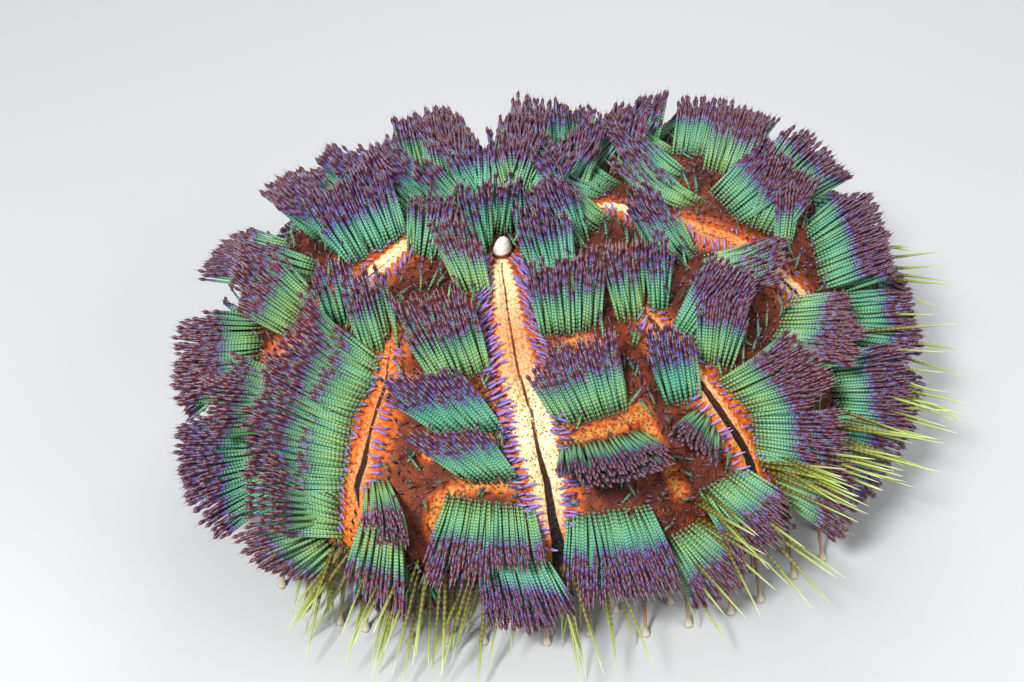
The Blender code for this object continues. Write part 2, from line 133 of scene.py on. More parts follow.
# The skin's mesh: the rings of the mouth pit as shares of its radius and drops below its top,
# and the relief of strips, slits and grooves with the distances in mm that it slopes between
SKIN_TURNS = 480
SKIN_RINGS = 200
FIRST_RING = 0.15
PIT_RINGS = ((0.93, 0.0012), (0.8, 0.0002), (0.4, 0.0), (0.01, 0.0))
STRIP_LIFT = 0.0005
STRIP_SLOPE = (1.2, -0.6)
SLIT_DROP = 0.0007
SLIT_SLOPE = (1.6, 0.2)
GROOVE_DROP = 0.0005
GROOVE_SLOPE = (2.4, 0.6)
GROOVE_POINTS = 24
SKIN_FIELDS = ("middle", "edge", "pale", "slit", "groove", "arc")
FAR_MM = 99.0

# The table that turns an arc into a polar angle, the flat disc that the skin is laid out on,
# and the patch of that disc that a spine takes
TABLE_ARC_STEP = 0.0005
TABLE_ARCS = 400
TABLE_POLARS = 357
LAST_POLAR = 178.0
WHOLE_ARC = 0.172
UNWRAP_RADIUS = 0.49
BAKE_PATCH = 0.003

# Comb spines: length in mm and its growth from row to row, pitches along and between rows in
# mm, how much each row stands up and the least tilt in degrees. A profile holds stations from
# root to tip, as share of the length and radius in mm
COMB_LENGTH = 13.9
LENGTH_RISE = 0.026
COMB_PITCH = 1.2
ROW_PITCH = 1.05
ROW_RISE = 2.8
LEAST_TILT = 10.0
COMB_ROWS = 12
LEAST_COLUMNS = 3
FAN = 20.0
COMB_SIDES = 5
COMB_PROFILE = ((0.00, 0.34), (0.30, 0.40), (0.72, 0.39), (0.80, 0.33), (0.835, 0.52),
                (0.875, 0.54), (0.905, 0.28), (0.92, 0.08), (1.00, 0.025))
LEAST_ROOT_ARC = 3.0
ROOT_SINK = 0.0012
LEAST_Z = 0.0012
NEARLY_UPRIGHT = 0.9

# How far comb spines wander: roots in mm, headings and tilts in degrees, sag in metres and
# the rest as shares. Combs rooted past CALM_ARC wander only by the share CALM
CALM_ARC = 60.0
CALM = 0.5
ACROSS_SCATTER = 0.25
ALONG_SCATTER = 0.3
HEADING_SCATTER = 3.2
TILT_SCATTER = 2.6
LENGTH_SCATTER = 0.045
COMB_SAG = -0.0004
COMB_SAG_SCATTER = 0.0005
COMB_TONES = (0.05, 0.95)
TONE_SCATTER = 0.16
COMB_GIRTH_SCATTER = 0.06

# How combs share the skin, in mm: the bare gap before another comb's line of roots, how far
# tips may reach over that line, the depth that always grows, the room left for the papilla,
# strips and grooves, and how near in height and ahead another comb has to be to count
FRONT_GAP = 3.5
TIP_OVERHANG = 2.0
SURE_ROWS = 4.0
PAPILLA_MARGIN = 4.1
STRIP_MARGIN = 2.4
STRIP_OVERLAP = -0.5
GROOVE_MARGIN = 1.5
LEVEL_MARGIN = 16.0
SIGHT = 26.0

# Combs: azimuth, arc in mm, heading in degrees from the apex direction towards growing
# azimuth, width in mm, tilt in degrees from upright, how far the line of roots is turned
# from square to the heading, and rows
COMBS = (
    (-34, 6, -10, 7, 16, 0, 6), (30, 6, 10, 7, 16, 0, 6), (-14, 16, -30, 6, 38, 22, 8),
    (-13, 30, -31, 10, 48, 40, 8), (-13, 56, -31, 14, 52, 12, 9), (-10, 70, -50, 16, 58, 42, 7),
    (-7, 81, -44, 13, 60, 42, 5), (-8, 86, -167, 20, 60, -8, 9), (-7, 97, 175, 16, 54, 18, 8),
    (32, 27, 10, 10, 46, -10, 9), (22, 45, 14, 15, 44, -6, 8), (17, 69, -7, 18, 58, 6, 7),
    (17, 74, -164, 20, 38, -12, 9), (12, 91, -166, 22, 58, -6, 9), (24, 101, 172, 10, 44, 0, 7),
    (-35, 55, -43, 9, 45, -7, 8), (-28, 85, 150, 7, 48, 20, 8), (-28, 96, -172, 12, 52, 6, 8),
    (-30, 106, -178, 14, 46, 16, 7), (-32, 64, -88, 15, 56, 5, 12),
    (-33, 80, -98, 21, 58, 0, 12), (-34, 98, -75, 12, 54, -12, 11),
    (-39, 107, -105, 10, 48, 0, 8), (-48, 75, -136, 12, 50, -4, 11),
    (-56, 25, -38, 10, 38, 5, 6), (-50, 55, -48, 10, 42, -20, 8),
    (-49, 93, -124, 16, 42, -2, 11), (-61, 59, -122, 14, 41, 4, 11),
    (-63, 92, 170, 14, 42, 16, 9), (-64, 72, -166, 20, 46, 12, 11),
    (-74, 34, -112, 18, 42, 6, 11), (-74, 52, -172, 13, 46, 16, 10),
    (-82, 86, 178, 14, 48, 0, 9), (-76, 102, 180, 16, 44, 0, 7), (-103, 24, -170, 9, 40, 0, 10),
    (-97, 42, -165, 12, 45, 0, 9), (-94, 62, -170, 14, 48, 0, 9), (-97, 80, 176, 16, 50, 0, 9),
    (-111, 52, -160, 13, 45, 0, 9), (-111, 74, -172, 17, 50, 0, 9),
    (-103, 97, 180, 24, 46, 0, 8), (64, 21, 22, 10, 44, 14, 6), (44, 49, 24, 9, 43, 2, 8),
    (53, 51, 34, 5, 45, -16, 7), (38, 74, 12, 11, 55, 4, 8), (41, 80, -108, 9, 56, -14, 9),
    (35, 94, 174, 14, 54, 4, 8), (50, 61, 82, 11, 44, -2, 11), (50, 71, 41, 9, 47, 14, 6),
    (48, 80, 103, 13, 46, -18, 11), (46, 90, 132, 12, 50, -8, 10),
    (46, 101, 136, 12, 44, -28, 9), (61, 106, 150, 13, 46, 0, 8),
    (68, 98, 136, 15, 36, -12, 10), (71, 78, 168, 19, 54, 12, 10),
    (75, 54, 166, 13, 64, 14, 10), (80, 50, 12, 9, 56, 16, 10), (91, 27, 8, 8, 58, 32, 9),
    (84, 99, 160, 19, 40, 0, 9), (78, 108, 172, 14, 44, 0, 7), (91, 76, 70, 7, 42, -28, 8),
    (95, 70, 127, 10, 38, -6, 9), (104, 62, 174, 14, 47, -10, 11),
    (92, 85, 146, 19, 38, 20, 11), (106, 53, 28, 10, 70, 46, 11), (103, 102, 176, 18, 44, 0, 8),
    (123, 34, 42, 13, 70, 24, 11), (120, 55, 52, 11, 60, 14, 10), (132, 59, 54, 13, 52, 24, 10),
    (110, 80, 158, 14, 44, 0, 9), (124, 74, 150, 13, 45, 0, 9), (120, 92, 166, 15, 46, 0, 8),
    (134, 80, 168, 14, 45, 0, 9), (134, 97, 176, 15, 46, 0, 8), (120, 107, 178, 14, 42, 0, 7),
    (118, 21, 60, 7, 40, 0, 6), (134, 24, 150, 8, 42, 0, 6), (136, 42, 150, 10, 46, 0, 7),
    (116, 67, 150, 12, 44, 0, 7), (128, 66, 150, 12, 44, 0, 7), (134, 108, 178, 14, 42, 0, 7),
    (114, 95, 170, 12, 44, 0, 7), (106, 110, 178, 14, 42, 0, 6),
)

# Combs behind follow one rule: arc, width and tilt, in two columns a sector
BACK_SECTORS = ("interambulacrum_back_right", "ambulacrum_back", "interambulacrum_back_left")
BACK_ROWS = (
    (14, 7, 40),
    (24, 9, 42),
    (40, 12, 46),
    (56, 15, 48),
    (72, 18, 50),
    (88, 20, 52),
    (103, 20, 44),
)
BACK_HEADING = 152.0

# Bare strips that part the combs: stations of arc in mm, azimuth, half width in mm,
# paleness, and the half width of the dark slit down the middle in mm. Low down the slits are
# wide, and their near black there is painted shadow. Those behind follow one rule, from an
# azimuth and two half widths
BACK_STRIPS = ((158, 3.0, 3.4), (191, 3.2, 3.6), (225, 3.0, 3.4))
STRIPS = (
    ((17, 0, 1.8, 1.0, 0.10), (20, 0, 2.9, 1.0, 0.14), (27, 1.5, 3.4, 0.95, 0.18),
     (41, 2, 4.0, 0.25, 0.24), (53, 2.5, 4.8, 0.4, 0.30), (59, 3, 5.0, 0.8, 0.34),
     (64, 3.5, 5.2, 1.0, 0.38), (74, 3, 5.4, 1.0, 0.50), (82, 3, 4.6, 0.95, 0.80),
     (90, 2, 3.6, 0.5, 1.0), (96, 1.5, 3.0, 0.0, 1.4), (107, -0.5, 3.0, 0.0, 2.0)),
    ((50, -34.5, 1.2, 0.1, 0.15), (55, -32.5, 1.8, 0.1, 0.2), (62, -30, 2.0, 0.1, 0.4),
     (68, -30, 2.0, 0.1, 0.4), (76, -30, 2.2, 0.1, 0.3), (82, -30, 2.4, 0.2, 0.7),
     (88, -31, 2.4, 0.1, 0.7), (93, -31, 2.2, 0.1, 0.4), (100, -33, 2.2, 0.0, 0.3),
     (106, -34.5, 2.0, 0.0, 0.3)),
    ((24, -77, 1.6, 0.9, 0.1), (27, -71.5, 2.6, 1.0, 0.15), (32, -65.5, 3.2, 1.0, 0.2),
     (37, -62, 3.0, 0.9, 0.2), (46, -58.5, 2.4, 0.3, 0.3), (51, -58, 2.8, 0.15, 0.4),
     (58, -55, 3.2, 0.1, 0.5), (63, -54.5, 3.0, 0.1, 0.4), (69, -56, 2.4, 0.1, 0.3),
     (75, -56, 2.2, 0.0, 0.3)),
    ((48, 49, 1.2, 0.1, 0.2), (52, 47.5, 2.2, 0.2, 0.7), (58, 46.5, 2.6, 0.2, 0.6),
     (62, 46, 2.6, 0.3, 0.3), (67, 45, 2.6, 0.3, 0.3), (72, 44, 2.8, 0.4, 0.9),
     (81, 43, 3.2, 0.3, 1.1), (91, 42.5, 3.2, 0.1, 1.1), (96, 41.5, 2.8, 0.0, 1.3),
     (101, 40.5, 2.2, 0.0, 0.8)),
    ((28, 110.5, 1.4, 0.9, 0.1), (31, 108, 2.6, 1.0, 0.15), (35, 103.5, 2.8, 1.0, 0.2),
     (41, 101, 2.6, 0.8, 0.2), (48, 96.5, 2.8, 0.3, 0.25), (54, 93, 3.2, 0.1, 0.3),
     (62, 90, 3.4, 0.1, 0.3), (70, 86, 3.4, 0.5, 0.3), (76, 82, 3.4, 0.8, 0.6),
     (82, 80, 3.0, 0.6, 0.6), (88, 75.5, 2.2, 0.1, 0.4), (92, 71, 2.0, 0.0, 0.4)),
    *(((38, place, 1.8, 0.6, 0.2), (50, place, upper, 0.6, 0.4), (75, place, lower, 0.3, 0.4),
       (106, place, 2.4, 0.0, 0.5)) for place, upper, lower in BACK_STRIPS),
)

# Beaded orange grooves across the front: stations of azimuth and arc
GROOVES = (
    ((-19.5, 60), (-11.5, 59), (-3.5, 61)),
    ((-19, 76), (-16.5, 74), (-11, 73), (-4, 70)),
    ((-17.5, 87), (-14.5, 84), (-9.5, 82), (-2, 82)),
    ((7.5, 74), (15, 72), (21.5, 72), (26.5, 71)),
    ((28, 69), (27, 78), (27, 85), (26.5, 92)),
    ((17, 48), (24.5, 47), (28.5, 51)),
    ((-18, 87), (-19, 92), (-19.5, 98)),
)

# Fringe of small spines along each strip, in mm. The strip in front has rows at two
# distances from its edge, close together, and each other strip has one looser row. Near the
# apex the spines slant towards it. Their sag is in metres
FRONT_FRINGES = ((1.2, 1.4), (2.8, 1.4))
SIDE_FRINGES = ((2.0, 1.8),)
FRINGE_LENGTH = 4.0
FRINGE_LENGTH_SHARES = (0.7, 1.1)
FRINGE_LAST_ARC = 100.0
FRINGE_SCATTER = 0.25
FRINGE_INSETS = (-0.5, 0.9)
FRINGE_SLANT_ARCS = (20.0, 45.0, 70.0)
FRINGE_SLANTS = (0.9, 0.35, 0.0)
FRINGE_SLANT_SCATTER = 0.16
FRINGE_TILT = (54.0, 7.0)
FRINGE_SAG = 0.0003
FRINGE_SIDES = 5
FRINGE_PROFILE = ((0.0, 0.30), (0.4, 0.37), (0.75, 0.33), (0.92, 0.18), (1.0, 0.04))

# Small spines grow between these arcs, in mm
SMALL_ARCS = (5.0, 150.0)

# Stray spines where no comb grows: pitch, lengths and margin in mm, how many places have one,
# the greatest turn from the apex direction in radians, and tilts in degrees
STRAY_PITCH = 3.4
STRAY_SHARE = 0.5
STRAY_LENGTHS = (4.5, 8.5)
BED_MARGIN = 0.5
STRAY_TURN = 1.2
STRAY_TILTS = (12.0, 62.0)
STRAY_GIRTH = (0.78, 0.06)

# Spinelets on the bare skin: pitch, shift and lengths in mm, turn and tilts in degrees
SPINELET_PITCH = 2.4
SPINELET_TURN = 0.7
SPINELET_SHIFT = 0.8
SPINELET_TILTS = (15.0, 60.0)
SPINELET_LENGTHS = (1.6, 3.8)
SPINELET_SIDES = 4
SPINELET_PROFILE = ((0.0, 0.20), (0.7, 0.17), (1.0, 0.04))

# Long pointed spines round the rim, in mm. They stand in clusters: azimuth, half spread in
# degrees, count, slant towards growing azimuth and arc. Behind, equal clusters stand every so
# many degrees. Their sag is in metres
RIM_CLUSTERS = (
    (-42, 3, 8, -0.7, 110), (-36, 3, 12, -0.7, 108), (-29, 3, 12, -0.7, 108), (-22, 3, 12, -0.7, 106),
    (-15, 2, 8, -0.6, 108), (-8, 2, 5, -0.5, 108), (1, 2, 8, -0.4, 106), (8, 2, 4, 0.2, 108),
    (22, 2, 4, 0.1, 106), (29, 2, 9, 0.1, 98), (36, 2, 5, 0.3, 104), (46, 3, 13, 0.4, 99),
    (54, 4, 12, 0.3, 101), (63, 4, 12, 0.2, 103), (73, 4, 10, 0.1, 104), (84, 5, 8, 0.0, 104),
)
RIM_BEHIND = (100, 290, 14)
RIM_CLUSTER_BEHIND = (5, 9, 0.0, 103.0)
RIM_ARC_SPREAD = 4.0
RIM_CLUSTER_SCATTER = 0.08
RIM_SLANT_SCATTER = 0.14
RIM_LENGTH = 28.0
RIM_LENGTH_SHARES = (0.70, 1.05)
RIM_TILT = (32.0, 7.0)
RIM_SAG = 0.0008
RIM_GIRTH_SCATTER = 0.08
RIM_SIDES = 6
RIM_PROFILE = ((0.0, 0.44), (0.25, 0.47), (0.6, 0.38), (0.85, 0.21), (1.0, 0.04))

# Walking spines under the body: arc in mm, how far the foot stands outside the root in mm,
# and how many a sector has
WALKING_ROWS = ((113, 6.0, 5), (121, 4.6, 4), (129, 4.0, 4), (137, 3.2, 3), (146, 2.4, 2))
WALKING_SCATTER = 0.7
WALKING_SIDES = 8
WALKING_PROFILE = ((0.00, 0.62), (0.45, 0.55), (0.84, 0.44), (0.90, 0.55), (0.965, 1.05),
                   (1.00, 1.20))

# The white papilla at the top of the strip in front: azimuth, arc, radius and height in mm, and
# how deep it is rooted
PAPILLA = (0.5, 13.4, 2.7, 5.2)
PAPILLA_SINK = 1.0
PAPILLA_TIP = 0.04
PAPILLA_SIDES = 20
PAPILLA_RINGS = 14
PAPILLA_BLUNTNESS = 2.2

# Beads round and along a spine, the share of their painted highlight and painted shade,
# and fine relief in metres
BEAD_ROWS = 5
BEAD_SHADING_SHARE = 0.62
BEAD_HEIGHT = 0.00016
SKIN_RELIEF = 0.0004
RELIEF_STRENGTH = 0.8

# From colours as seen on screen to linear light
SCREEN_OFFSET = 0.055
SCREEN_POWER = 2.4
SCREEN_KNEE = 0.04
SCREEN_SLOPE = 12.92

SEED = 23
PROBE = 0.4

Spines = namedtuple("Spines", "foot aim sag length girth tone home")
Plot = namedtuple("Plot", "origin normal ahead aside half depth")


def turn(angle):
    """Angles in degrees brought between -180 and 180."""
    return (angle + 180.0) % 360.0 - 180.0


def outward(azimuth):
    """Level directions away from the axis."""
    angle = np.radians(azimuth)
    return np.stack([np.sin(angle), -np.cos(angle), np.zeros_like(angle)], axis=-1)


def furrow_depth(azimuth):
    """How far the skin sinks at a sector's middle and edges, from 0 to 1."""
    depth = np.zeros_like(azimuth)
    for _, left, middle, right in SECTORS:
        place = (azimuth - left) % 360.0
        half = np.where(place < middle - left, middle - left, right - middle)
        share = np.abs(place - (middle - left)) / half
        fold = np.maximum(0.0, 1.0 - np.minimum(share, 1.0 - share) / FURROW_WIDE)
        depth = np.where(place <= right - left, fold, depth)
    return depth


def reach(azimuth):
    """The greatest distance of the skin from the axis."""
    angle = np.radians(azimuth)
    oval = 1.0 / np.hypot(np.sin(angle) / HALF_WIDTH, np.cos(angle) / HALF_DEPTH)
    swell = 0.0
    for place, wide, rise in SWELLINGS:
        swell = swell + rise * np.exp(-(turn(azimuth - place) / wide) ** 2)
    return oval * (1.0 + swell) * (1.0 - FURROW * furrow_depth(azimuth))


def skin_height(azimuth, polar):
    """The height of the skin at polar angles, 0 at the apex and 180 at the mouth."""
    level = np.cos(np.radians(polar))
    tall = np.where(level > 0.0, CROWN_RISE, UNDERSIDE_DROP)
    dome = np.copysign(np.abs(level) ** TOP_ROUNDNESS, level) * tall
    away = turn(azimuth - HUMP_AZIMUTH) / HUMP_WIDE
    above = (polar - HUMP_POLAR) / HUMP_TALL
    return WAIST_Z + dome + HUMP_HEIGHT * np.exp(-away * away - above * above)


def axis_at(height):
    """Points of the leaning body axis."""
    rise = height - WAIST_Z
    return np.stack([BODY_X + LEAN_X * rise, BODY_Y + LEAN_Y * rise, height], axis=-1)


def body_shift():
    """Where the solids put the axis at the waist's height, from the mouth skin's box."""
    low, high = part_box("peristome")
    polar = 180.0 - np.degrees(np.arcsin((MOUTH_RADIUS / reach(0.0)) ** (1.0 / SIDE_ROUNDNESS)))
    rise = (float(skin_height(0.0, polar)) + MOUTH_SEAT_Z) / 2 - WAIST_Z
    return (low[0] + high[0]) / 2 - LEAN_X * rise, (low[1] + high[1]) / 2 - LEAN_Y * rise


def skin_point(azimuth, polar):
    """Points of the skin at azimuths and polar angles in degrees."""
    azimuth = np.asarray(azimuth, dtype=float)
    polar = np.asarray(polar, dtype=float)
    ring = np.abs(np.sin(np.radians(polar))) ** SIDE_ROUNDNESS
    distance = (reach(azimuth) * ring)[..., None]
    return axis_at(skin_height(azimuth, polar)) + outward(azimuth + 0.0 * polar) * distance


def arc_table():
    """Polar angles at equal steps of arc, a row for each degree of azimuth."""
    polars = np.linspace(0.0, LAST_POLAR, TABLE_POLARS)
    steps = np.arange(TABLE_ARCS) * TABLE_ARC_STEP
    rows = []
    for azimuth in range(361):
        line = skin_point(np.full_like(polars, azimuth), polars)
        lengths = np.linalg.norm(np.diff(line, axis=0), axis=1)
        rows.append(np.interp(steps, np.concatenate([[0.0], np.cumsum(lengths)]), polars))
    return np.array(rows)


def polar_at_arc(azimuth, arc):
    """Polar angles at arcs in metres."""
    row = np.asarray(azimuth, dtype=float) % 360.0
    column = np.clip(np.asarray(arc, dtype=float) / TABLE_ARC_STEP, 0.0, TABLE_ARCS - 1.001)
    row_low = np.floor(row).astype(int)
    column_low = np.floor(column).astype(int)
    right = row - row_low
    down = column - column_low
    near = POLARS[row_low, column_low] * (1 - down) + POLARS[row_low, column_low + 1] * down
    far = POLARS[row_low + 1, column_low] * (1 - down) + POLARS[row_low + 1, column_low + 1] * down
    return near * (1 - right) + far * right


def unit(vectors):
    """Vectors brought to length one."""
    return vectors / np.linalg.norm(vectors, axis=-1, keepdims=True)


def skin_frame(azimuth, arc):
    """Points of the skin, normals, and directions to the apex and sideways."""
    polar = polar_at_arc(azimuth, arc)
    to_apex = unit(skin_point(azimuth, polar - PROBE) - skin_point(azimuth, polar + PROBE))
    side = unit(skin_point(azimuth + PROBE, polar) - skin_point(azimuth - PROBE, polar))
    return skin_point(azimuth, polar), unit(np.cross(side, to_apex)), to_apex, side


def spot_frame(azimuth, arc):
    """The point, normal and directions at one place, with its arc in mm."""
    return skin_frame(np.array([float(azimuth)]), np.array([arc * MM]))


def waist_mm(azimuth, arc):
    """The distance from the axis, in mm, that turns a sideways shift into an angle."""
    polar = polar_at_arc(azimuth, arc * MM)
    return PER_METRE * reach(np.asarray(azimuth, dtype=float)) * np.sin(np.radians(polar))


def unwrap(azimuth, arc):
    """Places on a flat disc, the apex in its middle, that the whole skin is laid out on."""
    angle = np.radians(azimuth)
    spread = UNWRAP_RADIUS * arc / WHOLE_ARC
    return np.stack([0.5 + spread * np.sin(angle), 0.5 - spread * np.cos(angle)], axis=-1)


def gathered(groups):
    """Several groups of spines as one."""
    return Spines(*(np.concatenate(field) for field in zip(*groups)))


def chosen(spines, kept):
    """Those spines that a list of yes and no keeps."""
    return Spines(*(field[kept] for field in spines))


def lain(normal, lying, tilt):
    """Directions tilted in degrees from the normal towards a lying direction."""
    flat = unit(lying - normal * np.sum(lying * normal, axis=-1, keepdims=True))
    leaned = np.radians(tilt)[..., None]
    return normal * np.cos(leaned) + flat * np.sin(leaned)


def above_floor(foot, aim, length):
    """Directions and lengths changed where needed, so that no tip is under the floor."""
    drop = np.maximum(0.0, LEAST_Z - (foot + aim * length[:, None])[:, 2])
    span = aim * length[:, None] + np.stack([0 * drop, 0 * drop, drop], axis=-1)
    return unit(span), np.linalg.norm(span, axis=-1)


def plot_of(comb):
    """The patch of skin that a comb grows on, with its own two level axes."""
    azimuth, arc, heading, width, _, skew, rows = comb
    point, normal, to_apex, side = spot_frame(azimuth, arc)
    ahead = math.radians(heading)
    aside = math.radians(heading + skew)
    forward = to_apex * math.cos(ahead) + side * math.sin(ahead)
    line = side * math.cos(aside) - to_apex * math.sin(aside)
    return Plot(point[0], normal[0], forward[0], line[0], width / 2, rows * ROW_PITCH)


def on_plot(plot, points):
    """Distances of points in mm ahead of a plot's line of roots, along it and off its level."""
    offset = (points - plot.origin) * PER_METRE
    lean = float(plot.ahead @ plot.aside)
    forward = offset @ plot.ahead
    sideways = offset @ plot.aside
    scale = 1.0 - lean * lean
    along = (forward - lean * sideways) / scale
    across = (sideways - lean * forward) / scale
    return along, across, np.abs(offset @ plot.normal)


def has_room(plots, own, foot, tip, along):
    """Which roots of a comb stand clear of the other combs' beds and of their open fronts."""
    free = np.ones(along.size, dtype=bool)
    for plot in plots:
        if plot is own:
            continue
        root_along, root_across, off_level = on_plot(plot, foot)
        tip_along, tip_across, _ = on_plot(plot, tip)
        level = off_level < LEVEL_MARGIN
        beside = level & (np.abs(root_across) < plot.half + COMB_PITCH / 2)
        behind = root_along > -ROW_PITCH / 3
        taken = beside & behind & (root_along < np.minimum(along, plot.depth))
        close = beside & ~behind & (root_along > -FRONT_GAP)
        over = level & (np.abs(tip_across) < plot.half) & (tip_along > TIP_OVERHANG)
        hiding = over & ~behind & (root_along > -SIGHT)
        free &= ~(taken | close | hiding)
    return free | (along < SURE_ROWS)


def papilla_distance(foot, aim, length):
    """Distance in mm from each spine to the middle of the papilla."""
    azimuth, arc, _, height = PAPILLA
    root, normal, _, _ = spot_frame(azimuth, arc)
    offset = root + normal * height * 0.5 * MM - foot
    along = np.clip(np.sum(offset * aim, axis=-1), 0.0, length)
    return PER_METRE * np.linalg.norm(offset - aim * along[:, None], axis=-1)


def strip_line(strip):
    """Arcs, azimuths, half widths, paleness and slit half widths down one strip."""
    return np.array(strip, dtype=float).T


def nearest_strip(azimuth, arc_mm, radius_mm):
    """Fields of the nearest strip at places on the skin.

    They are the distances in mm from its middle and from its edge, its paleness and its slit's
    half width.
    """
    nearest = np.full((4, *azimuth.shape), FAR_MM)
    for strip in STRIPS:
        arcs, azimuths, halves, paleness, slits = strip_line(strip)
        sideways = np.radians(turn(azimuth - np.interp(arc_mm, arcs, azimuths))) * radius_mm
        beyond = np.maximum(0.0, np.maximum(arcs[0] - arc_mm, arc_mm - arcs[-1]))
        away = np.hypot(sideways, beyond)
        edge_away = away - np.interp(arc_mm, arcs, halves)
        pale, slit = (np.interp(arc_mm, arcs, values) for values in (paleness, slits))
        nearest = np.where(away < nearest[0], (away, edge_away, pale, slit), nearest)
    return nearest


def groove_distance(points):
    """Distance in mm from each point to the nearest beaded groove."""
    nearest = np.full(points.shape[0], FAR_MM)
    for stations in GROOVES:
        azimuths, arcs = np.array(stations, dtype=float).T
        share = np.linspace(0.0, len(stations) - 1.0, GROOVE_POINTS)
        order = np.arange(len(stations))
        line_azimuth = np.interp(share, order, azimuths)
        line_arc = np.interp(share, order, arcs) * MM
        line = skin_point(line_azimuth, polar_at_arc(line_azimuth, line_arc))
        for spot in line:
            nearest = np.minimum(nearest, np.linalg.norm(points - spot, axis=1) * PER_METRE)
    return nearest


def is_open(edge, foot):
    """Which roots are clear of the strips, from their distance to an edge, and of the grooves."""
    return (edge > STRIP_MARGIN) & (groove_distance(foot) > GROOVE_MARGIN)


def comb_roots(comb, rough):
    """A comb's roots: row, share of the width, mm ahead of the first row, azimuth and arc."""
    azimuth, arc, heading, width, _, skew, rows = comb
    columns = max(LEAST_COLUMNS, round(width / COMB_PITCH))
    row, column = np.divmod(np.arange(rows * columns), columns)
    share = (column + 0.5 + 0.5 * (row % 2)) / columns - 0.5
    across = share * width + rough * RANDOM.normal(0.0, ACROSS_SCATTER, row.size)
    along = row * ROW_PITCH + rough * RANDOM.normal(0.0, ALONG_SCATTER, row.size)
    ahead = math.radians(heading)
    aside = math.radians(heading + skew)
    up = along * math.cos(ahead) - across * math.sin(aside)
    sideways = along * math.sin(ahead) + across * math.cos(aside)
    place_arc = arc - up
    waist = waist_mm(azimuth, np.maximum(place_arc, LEAST_ROOT_ARC))
    return row, share, along, azimuth + np.degrees(sideways / waist), place_arc


def comb_spines(comb, plots):
    """The spines of one comb: rows that lean over one another like thatch."""
    azimuth, arc, heading, _, tilt, _, _ = comb
    rough = 1.0 if arc < CALM_ARC else CALM
    row, share, along, place, place_arc = comb_roots(comb, rough)
    count = row.size
    _, _, to_apex, side = spot_frame(azimuth, arc)
    wander = rough * RANDOM.normal(0.0, HEADING_SCATTER, count)
    turned = np.radians(heading + FAN * share + wander)[:, None]
    lying = to_apex * np.cos(turned) + side * np.sin(turned)
    foot, normal, _, _ = skin_frame(place, np.maximum(place_arc, LEAST_ROOT_ARC) * MM)
    leaned = np.maximum(tilt - ROW_RISE * row, LEAST_TILT)
    leaned = leaned + rough * RANDOM.normal(0.0, TILT_SCATTER, count)
    aim = lain(normal, lying, leaned)
    stretch = 1.0 + rough * RANDOM.normal(0.0, LENGTH_SCATTER, count)
    length = COMB_LENGTH * MM * (1.0 + LENGTH_RISE * row) * stretch
    sag = normal * rough * RANDOM.normal(COMB_SAG, COMB_SAG_SCATTER, count)[:, None]
    tone = np.clip(RANDOM.normal(RANDOM.uniform(*COMB_TONES), TONE_SCATTER, count), 0.0, 1.0)
    girth = RANDOM.normal(1.0, COMB_GIRTH_SCATTER, count)

    _, edge, _, _ = nearest_strip(place, place_arc, waist_mm(place, place_arc))
    span = (length * np.sin(np.radians(leaned)))[:, None]
    kept = has_room(plots.values(), plots[comb], foot, foot + lying * span, along)
    kept &= is_open(edge, foot) | (along < SURE_ROWS)
    kept &= (place_arc > LEAST_ROOT_ARC) & (edge > STRIP_OVERLAP)
    kept &= papilla_distance(foot, aim, length) > PAPILLA_MARGIN
    aim, length = above_floor(foot, aim, length)
    home = unwrap(place, place_arc * MM)
    return chosen(Spines(foot, aim, sag, length, girth, tone, home), kept)


def combs_of(sector):
    """The combs rooted in one sector."""
    name, left, middle, right = sector
    if name not in BACK_SECTORS:
        return [row for row in COMBS if (row[0] - left) % 360.0 < right - left]
    rows = []
    for arc, width, tilt in BACK_ROWS:
        rows.append(((left + middle) / 2, arc, -BACK_HEADING, width, tilt, 0, COMB_ROWS))
        rows.append(((middle + right) / 2, arc, BACK_HEADING, width, tilt, 0, COMB_ROWS))
    return rows


def fringe(strip, hand, inset, pitch):
    """Small spines that point at a strip from its left or right, for hand -1 or 1."""
    arcs, azimuths, halves, _, _ = strip_line(strip)
    arc = np.arange(arcs[0] + 1.0, min(arcs[-1], FRINGE_LAST_ARC), pitch)
    count = arc.size
    arc = arc + RANDOM.normal(0.0, FRINGE_SCATTER, count)
    middle = np.interp(arc, arcs, azimuths)
    away = np.interp(arc, arcs, halves) + inset + RANDOM.uniform(*FRINGE_INSETS, count)
    place = middle + hand * np.degrees(away / waist_mm(middle, arc))
    foot, normal, to_apex, side = skin_frame(place, arc * MM)
    slant = np.interp(arc, FRINGE_SLANT_ARCS, FRINGE_SLANTS)[:, None]
    slant = slant + RANDOM.normal(0.0, FRINGE_SLANT_SCATTER, (count, 1))
    lying = -hand * side + to_apex * slant
    aim = lain(normal, lying, RANDOM.normal(*FRINGE_TILT, count))
    length = FRINGE_LENGTH * MM * RANDOM.uniform(*FRINGE_LENGTH_SHARES, count)
    sag = normal * RANDOM.normal(0.0, FRINGE_SAG, (count, 1))
    tone = RANDOM.uniform(0.0, 1.0, count)
    girth = RANDOM.normal(1.0, 0.1, count)
    aim, length = above_floor(foot, aim, length)
    return Spines(foot, aim, sag, length, girth, tone, unwrap(place, arc * MM))


def even_places(pitch):
    """Azimuths and arcs, in mm, spread evenly over the skin."""
    rings = []
    for arc in np.arange(*SMALL_ARCS, pitch):
        count = int(math.tau * float(waist_mm(0.0, arc)) / pitch)
        rings.append(np.stack([np.arange(count) * 360.0 / count, np.full(count, arc)], axis=-1))
    return np.concatenate(rings).T


